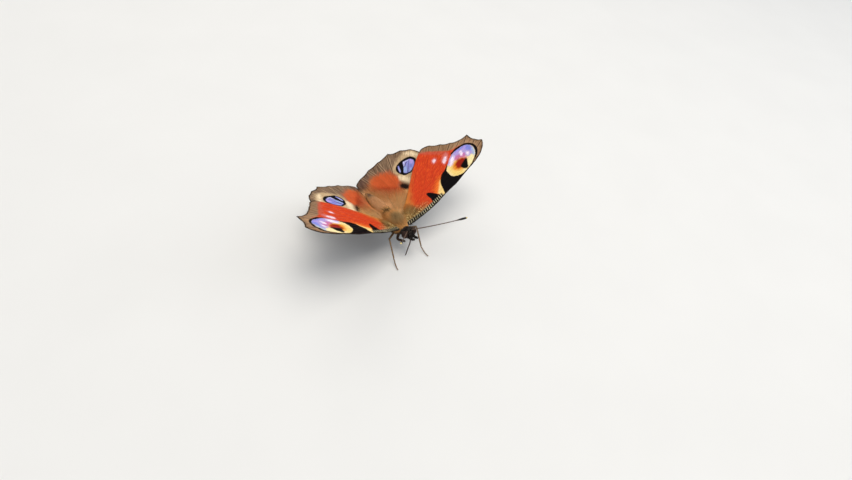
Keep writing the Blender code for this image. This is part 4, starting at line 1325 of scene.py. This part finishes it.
ANTENNAE = {
    "left": Antenna((0.50, 4.9, 1.75), (0.755, 0.540, 0.370), 15.0),
    "right": Antenna((0.50, 4.9, 1.75), (0.660, 0.510, 0.560), 15.1),
}
LEGS = {  # hip, knee, ankle, toe
    "leg_mid_left": ((0.9, 0.9, -1.5), (4.3, 3.4, -0.6), (3.9, 6.9, -5.0), (4.2, 9.4, -6.1)),
    "leg_mid_right": ((0.9, 0.9, -1.5), (4.6, 3.0, -0.6), (5.0, 6.3, -5.0), (5.6, 8.7, -6.1)),
    "leg_hind_left": ((0.9, -0.9, -1.6), (4.6, -3.4, -1.1), (5.9, -7.4, -5.1), (6.5, -10.2, -6.1)),
    "leg_hind_right": ((0.9, -0.9, -1.6), (4.7, -3.6, -1.35), (5.7, -7.8, -5.1), (6.1, -10.6, -6.1)),
}
FORELEG = ((0.6, 2.2, -1.2), (1.45, 3.0, -2.3), (1.0, 4.9, -1.75))


@dataclass(frozen=True)
class Leg:
    """A walking leg: thigh, shin with two spurs, a foot of five joints on the floor and two claws."""

    joints: tuple[tuple[float, float, float], ...]
    thigh: float = 0.27
    shin: float = 0.17
    foot: float = 0.125
    ankle_rise: float = 0.30

    def limb(self, a: np.ndarray, b: np.ndarray, profile: tuple[tuple[float, float], ...], count: int = 40) -> Shell:
        """Returns a straight limb whose radius follows (share, radius) through a smooth curve."""
        t = np.linspace(0, 1, count)
        table = spline(np.array(profile), 8)
        radius = np.interp(t, table[:, 0], table[:, 1])
        radius *= np.sqrt(np.clip(np.minimum(t, 1 - t) / 0.04 + 0.05, 0, 1))
        shell = tube(a + (b - a) * t[:, None], radius, 14, (0.3, 0.2, 1.0))
        shell.values = {"along": np.append(np.repeat(t, 14), [0, 1])}
        return shell

    def bristles(self, a: np.ndarray, b: np.ndarray, radius: float, count: int, rng: np.random.Generator) -> Shell:
        """Returns short bristles round the line from a to b that lean towards b."""
        t, angle = rng.uniform(0, 1, count), rng.uniform(0, 2 * math.pi, count)
        along = unit(b - a)
        across = unit(np.cross(along, [0.3, 0.2, 1.0]))
        up = np.cross(across, along)
        normals = np.cos(angle)[:, None] * across + np.sin(angle)[:, None] * up
        roots = a + (b - a) * t[:, None] + normals * radius * 0.9
        shape = TuftShape(0.2, 0.035, 24, stations=2, sink=0.01)
        places = np.stack([angle / (2 * math.pi), t], -1)
        return shape.grow(roots, normals, np.tile(along, (count, 1)), places, {}, rng)

    def build(self, name: str, side: float, material: bpy.types.Material, rng: np.random.Generator) -> None:
        """Makes the leg's limbs, spurs, foot joints and claws as one piece."""
        hip, knee, ankle, toe = to_row(np.array(self.joints), side)
        toe = np.array([*toe[:2], self.foot])
        heel = ankle + (toe - ankle) * 0.55
        heel[2] = self.foot + self.ankle_rise
        down = unit(toe - heel)
        parts = [
            self.limb(hip, knee, ((0, 0.3), (0.15, self.thigh * 1.1), (0.5, self.thigh), (0.85, self.shin * 1.1), (1, self.shin))),
            self.limb(knee, ankle, ((0, self.shin * 1.05), (0.4, self.shin), (0.9, self.shin * 0.95), (1, self.shin * 1.1))),
        ]
        line = [ankle, heel, *(heel + (toe - heel) * s for s in (0.34, 0.62, 0.84)), toe + down * 0.25]
        line[-1][2] = self.foot
        swell = ((0, self.foot * 0.8), (0.5, self.foot * 0.92), (0.9, self.foot * 1.12), (1, self.foot))
        parts += [self.limb(a, b, swell, 20) for a, b in zip(line[:-1], line[1:])]
        across = unit(np.cross(down, [0, 0, 1]))
        for sign in (-1.0, 1.0):
            t = np.linspace(0, 1, 12)[:, None]
            tip = line[-1] + down * 0.34 + across * sign * 0.16
            tip[2] = 0.03
            bend = np.array([0, 0, 0.16]) * 4 * t * (1 - t)
            parts.append(tube(line[-1] + (tip - line[-1]) * t + bend, 0.05 * (1.02 - t[:, 0]), 8, tuple(across)))
            spur = ankle + unit(heel - ankle) * 0.55 + across * sign * 0.22
            parts.append(tube(ankle + (spur - ankle) * t, 0.045 * (1.02 - t[:, 0]), 8, tuple(down + [0.1, 0, 0.2])))
        parts.append(self.bristles(hip, knee, self.thigh, 900, rng))
        parts.append(self.bristles(knee, ankle, self.shin, 700, rng))
        parts.append(self.bristles(ankle, heel, self.foot, 160, rng))
        shell = joined(parts)
        shell.points[:, 2] = np.maximum(shell.points[:, 2], 0.0)
        shell.piece(f"walking_{name}", [material], "leg", [name])

    @staticmethod
    def material() -> bpy.types.Material:
        """Returns tan-brown scales in darker patches, some bristles paler."""
        paint = Paint("leg_scales")
        place = paint.place()
        scales, patchy = paint.noise(place, 12000.0), paint.noise(place, 1500.0)
        colour = paint.mix(scales, linear((108, 80, 52)), linear((168, 132, 90)))
        colour = paint.mix(patchy.step(0.5, 0.75) * 0.6, colour, linear((64, 46, 34)))
        colour = paint.mix(paint.value("tint").step(0.3, 1.0) * 0.5, colour, linear((200, 172, 126)))
        return paint.finish(colour, 0.6 + scales * 0.15, scales, 0.015, {"Specular IOR Level": 0.4})


@dataclass(frozen=True)
class FurredLimb:
    """A short limb under close fur, such as a palp or a folded foreleg."""

    joints: tuple[tuple[float, float, float], ...]
    radii: tuple[float, ...]
    shape: TuftShape
    count: int

    def build(self, name: str, node: str, slot: str, side: float, hair: dict[str, float], material: bpy.types.Material, rng: np.random.Generator) -> None:
        """Makes the limb and the fur on it as one piece.

        Args:
            name: The piece's name.
            node: The solid that it stands for.
            slot: The record's material slot.
            side: 1 on the left, -1 on the right.
            hair: The shares of the fur's colours.
            material: The paint.
            rng: The random numbers.
        """
        path = spline(to_row(np.array(self.joints), side), 12)
        t = np.linspace(0, 1, len(path))
        radius = np.interp(t, np.linspace(0, 1, len(self.radii)), self.radii)
        radius *= np.sqrt(np.clip(np.minimum(t, 1 - t) / 0.08 + 0.1, 0, 1))
        core = tube(path, radius, 16, (1, 0.05, 0.1))
        pick, angle = rng.uniform(0, 0.97, self.count), rng.uniform(0, 2 * math.pi, self.count)
        here = np.stack([np.interp(pick, t, path[:, k]) for k in range(3)], -1)
        along = unit(np.stack([np.interp(pick, t, np.gradient(path[:, k])) for k in range(3)], -1))
        across = unit(np.cross(along, (1, 0.05, 0.1)))
        up = np.cross(across, along)
        normals = np.cos(angle)[:, None] * across + np.sin(angle)[:, None] * up
        roots = here + normals * np.interp(pick, t, radius)[:, None] * 0.95
        fur = self.shape.grow(roots, normals, along, np.stack([angle / (2 * math.pi), pick], -1), {}, rng)
        shell = joined([core, fur])
        shell.values.update({k: np.full(len(shell.points), v) for k, v in hair.items()})
        shell.piece(name, [material], slot, [node])


@dataclass(frozen=True)
class Proboscis:
    """The lowered tongue: two slender half tubes side by side, finely ringed."""

    joints: tuple[tuple[float, float, float], ...] = (
        (0.0, 5.2, -0.05), (0.0, 5.9, -0.55), (-0.1, 6.2, -1.6), (-0.45, 6.25, -3.6), (-0.9, 6.3, -6.1),
    )
    radius: float = 0.11

    def build(self, material: bpy.types.Material) -> None:
        """Makes the two tubes, whose radius ripples along them."""
        path = spline(to_row(np.array(self.joints), 1.0), 50)
        t = np.linspace(0, 1, len(path))
        radius = self.radius * (1.1 - 0.35 * t) * (1 + 0.06 * np.sin(t * 2 * math.pi * 70))
        radius *= np.sqrt(np.clip((1.002 - t) / 0.02, 0, 1))
        halves = [tube(path + [sign * 0.085, 0, 0], radius, 12, (1, 0, 0)) for sign in (-1.0, 1.0)]
        shell = joined(halves)
        shell.values = {"along": np.tile(np.append(np.repeat(t, 12), [0, 1]), 2)}
        shell.points[:, 2] = np.maximum(shell.points[:, 2], 0.02)
        shell.piece("tongue", [material], "antenna", ["proboscis"])

    @staticmethod
    def material() -> bpy.types.Material:
        """Returns dark glossy horn with fine rings."""
        paint = Paint("tongue_horn")
        ring = (paint.value("along") * 440.0).math("SINE", paint.value("along") * 440.0)
        colour = paint.mix(ring * 0.5 + 0.5, linear((48, 30, 22)), linear((88, 58, 40)))
        return paint.finish(colour, 0.35, ring, 0.006, {"Specular IOR Level": 0.5})


@dataclass(frozen=True)
class Studio:
    """A pale floor, soft light and the camera at the photograph's angle."""

    position: tuple[float, float, float] = (-77.91, -76.63, 114.29)
    right: tuple[float, float, float] = (0.7458, -0.6449, 0.1668)
    up: tuple[float, float, float] = (0.394, 0.629, 0.6701)
    back: tuple[float, float, float] = (-0.5371, -0.434, 0.7233)
    lens: float = 24.34
    floor_side: float = 8.0

    def camera(self) -> None:
        """Makes the camera."""
        data = bpy.data.cameras.new("camera")
        data.lens, data.sensor_width = self.lens, 36.0
        data.clip_start, data.clip_end = 0.002, 50.0
        obj = bpy.data.objects.new("camera", data)
        turn = Matrix((self.right, self.up, self.back)).transposed().to_4x4()
        obj.matrix_world = Matrix.Translation(Vector(self.position) * MM) @ turn
        bpy.context.scene.collection.objects.link(obj)
        bpy.context.scene.camera = obj

    def light(self, name: str, place: tuple[float, float, float], side: float, watts: float, colour: Colour) -> None:
        """Makes a square soft light that looks at the butterfly."""
        data = bpy.data.lights.new(name, "AREA")
        data.size, data.energy, data.color = side, watts, linear(colour)[:3]
        obj = bpy.data.objects.new(name, data)
        aim = Vector((0, 0, 0.008)) - Vector(place)
        obj.matrix_world = Matrix.Translation(place) @ aim.to_track_quat("-Z", "Y").to_matrix().to_4x4()
        bpy.context.scene.collection.objects.link(obj)

    def build(self) -> None:
        """Makes the camera, floor, lights and a pale surround."""
        self.camera()
        half = self.floor_side / 2
        mesh = bpy.data.meshes.new("floor")
        mesh.from_pydata([(-half, -half, 0), (half, -half, 0), (half, half, 0), (-half, half, 0)], [], [(0, 1, 2, 3)])
        paint = Paint("pale_floor")
        mottle = paint.noise(paint.place(), 40.0)
        mesh.materials.append(paint.finish(paint.mix(mottle, linear((234, 233, 230)), linear((239, 238, 235))), 0.9))
        floor = bpy.data.objects.new("floor", mesh)
        bpy.context.scene.collection.objects.link(floor)
        self.light("key", (0.0, -0.06, 0.62), 0.42, 2.2, (255, 250, 242))
        self.light("fill", (0.45, -0.35, 0.35), 0.45, 1.0, (240, 246, 255))
        self.light("back", (0.10, 0.55, 0.40), 0.40, 0.9, (255, 252, 246))
        world = bpy.data.worlds.new("surround")
        world.use_nodes = True
        shade = next(n for n in world.node_tree.nodes if n.type == "BACKGROUND")
        shade.inputs["Color"].default_value = linear((232, 236, 242))
        shade.inputs["Strength"].default_value = 0.5
        bpy.context.scene.world = world
        bpy.context.scene.view_settings.view_transform = "Standard"


def main() -> None:
    """Builds the studio, then the butterfly piece by piece."""
    logging.basicConfig(level=logging.INFO, format="%(message)s")
    rng = np.random.default_rng(SEED)
    Studio().build()
    fore = WingFinish(
        "forewing", (206, 62, 32), (228, 92, 38), FORE_MARKINGS, outer_rays=0.6, hair_dark=(146, 108, 54), hair_light=(255, 214, 126)
    )
    hind = WingFinish("hindwing", (128, 102, 80), (152, 126, 100), HIND_MARKINGS, streaks=0.18, root_share=0.7)
    paints = {f.name: {c: f.material(c) for c in Coating} for f in (fore, hind)}
    fore_zone = ((-1, -1.8), (2.4, -1.8), (3.8, -1.0), (3.4, 0.8), (2.4, 1.8), (1.0, 1.6), (-1, 0.6))
    hind_zone = (
        (-1, 0.4), (3.5, 1.0), (6.4, -0.6), (7.0, -3.2), (6.2, -6.6), (5.2, -9.8), (4.5, -13.6), (3.2, -14.4), (1.8, -11),
        (0.8, -4.4), (-1, -1.6),
    )
    shifts = {"left": (0.0, 0.0), "right": (-1.5, -1.1)}
    for label, side in SIDES.items():
        over = FOREWING_POSES[label]
        Wing(f"forewing_{label}", side, FOREWING, over, over, fore, fore_zone, 900).build(paints["forewing"], rng)
        pose, shift = HINDWING_POSES[label], shifts[label]
        Wing(f"hindwing_{label}", side, HINDWING, pose, over, hind, hind_zone, 4200, shift=shift).build(paints["hindwing"], rng)
    body = Body()
    body.build(rng)
    eye_paint, horn, leg_paint = Eye.material(), Antenna.material(), Leg.material()
    fur = body.fur.material("limb_fur", True)
    palp = FurredLimb(
        ((0.56, 5.2, 0.62), (0.66, 6.7, 0.62), (0.56, 7.7, 1.2)), (0.16, 0.24, 0.22, 0.08), TuftShape(0.36, 0.05, 30), 2600
    )
    foreleg = FurredLimb(FORELEG, (0.22, 0.18, 0.16, 0.08), TuftShape(0.5, 0.05, 26), 2600)
    dark = {"dark": 1.0, "belly": 0.0, "olive": 0.0, "deep": 0.0, "tan": 0.0, "tail": 0.0}
    brown = dict(dark, dark=0.45, belly=1.0)
    for label, side in SIDES.items():
        Eye().build(label, side, eye_paint)
        ANTENNAE[label].build(label, side, horn)
        palp.build(f"palp_fur_{label}", f"palp_{label}", "face_hair", side, dark, fur, rng)
        foreleg.build(f"brush_leg_{label}", f"leg_fore_{label}", "leg", side, brown, fur, rng)
    Proboscis().build(Proboscis.material())
    for name, joints in LEGS.items():
        Leg(joints).build(name, SIDES[name.rsplit("_", 1)[1]], leg_paint, rng)


if __name__ == "__main__":
    main()
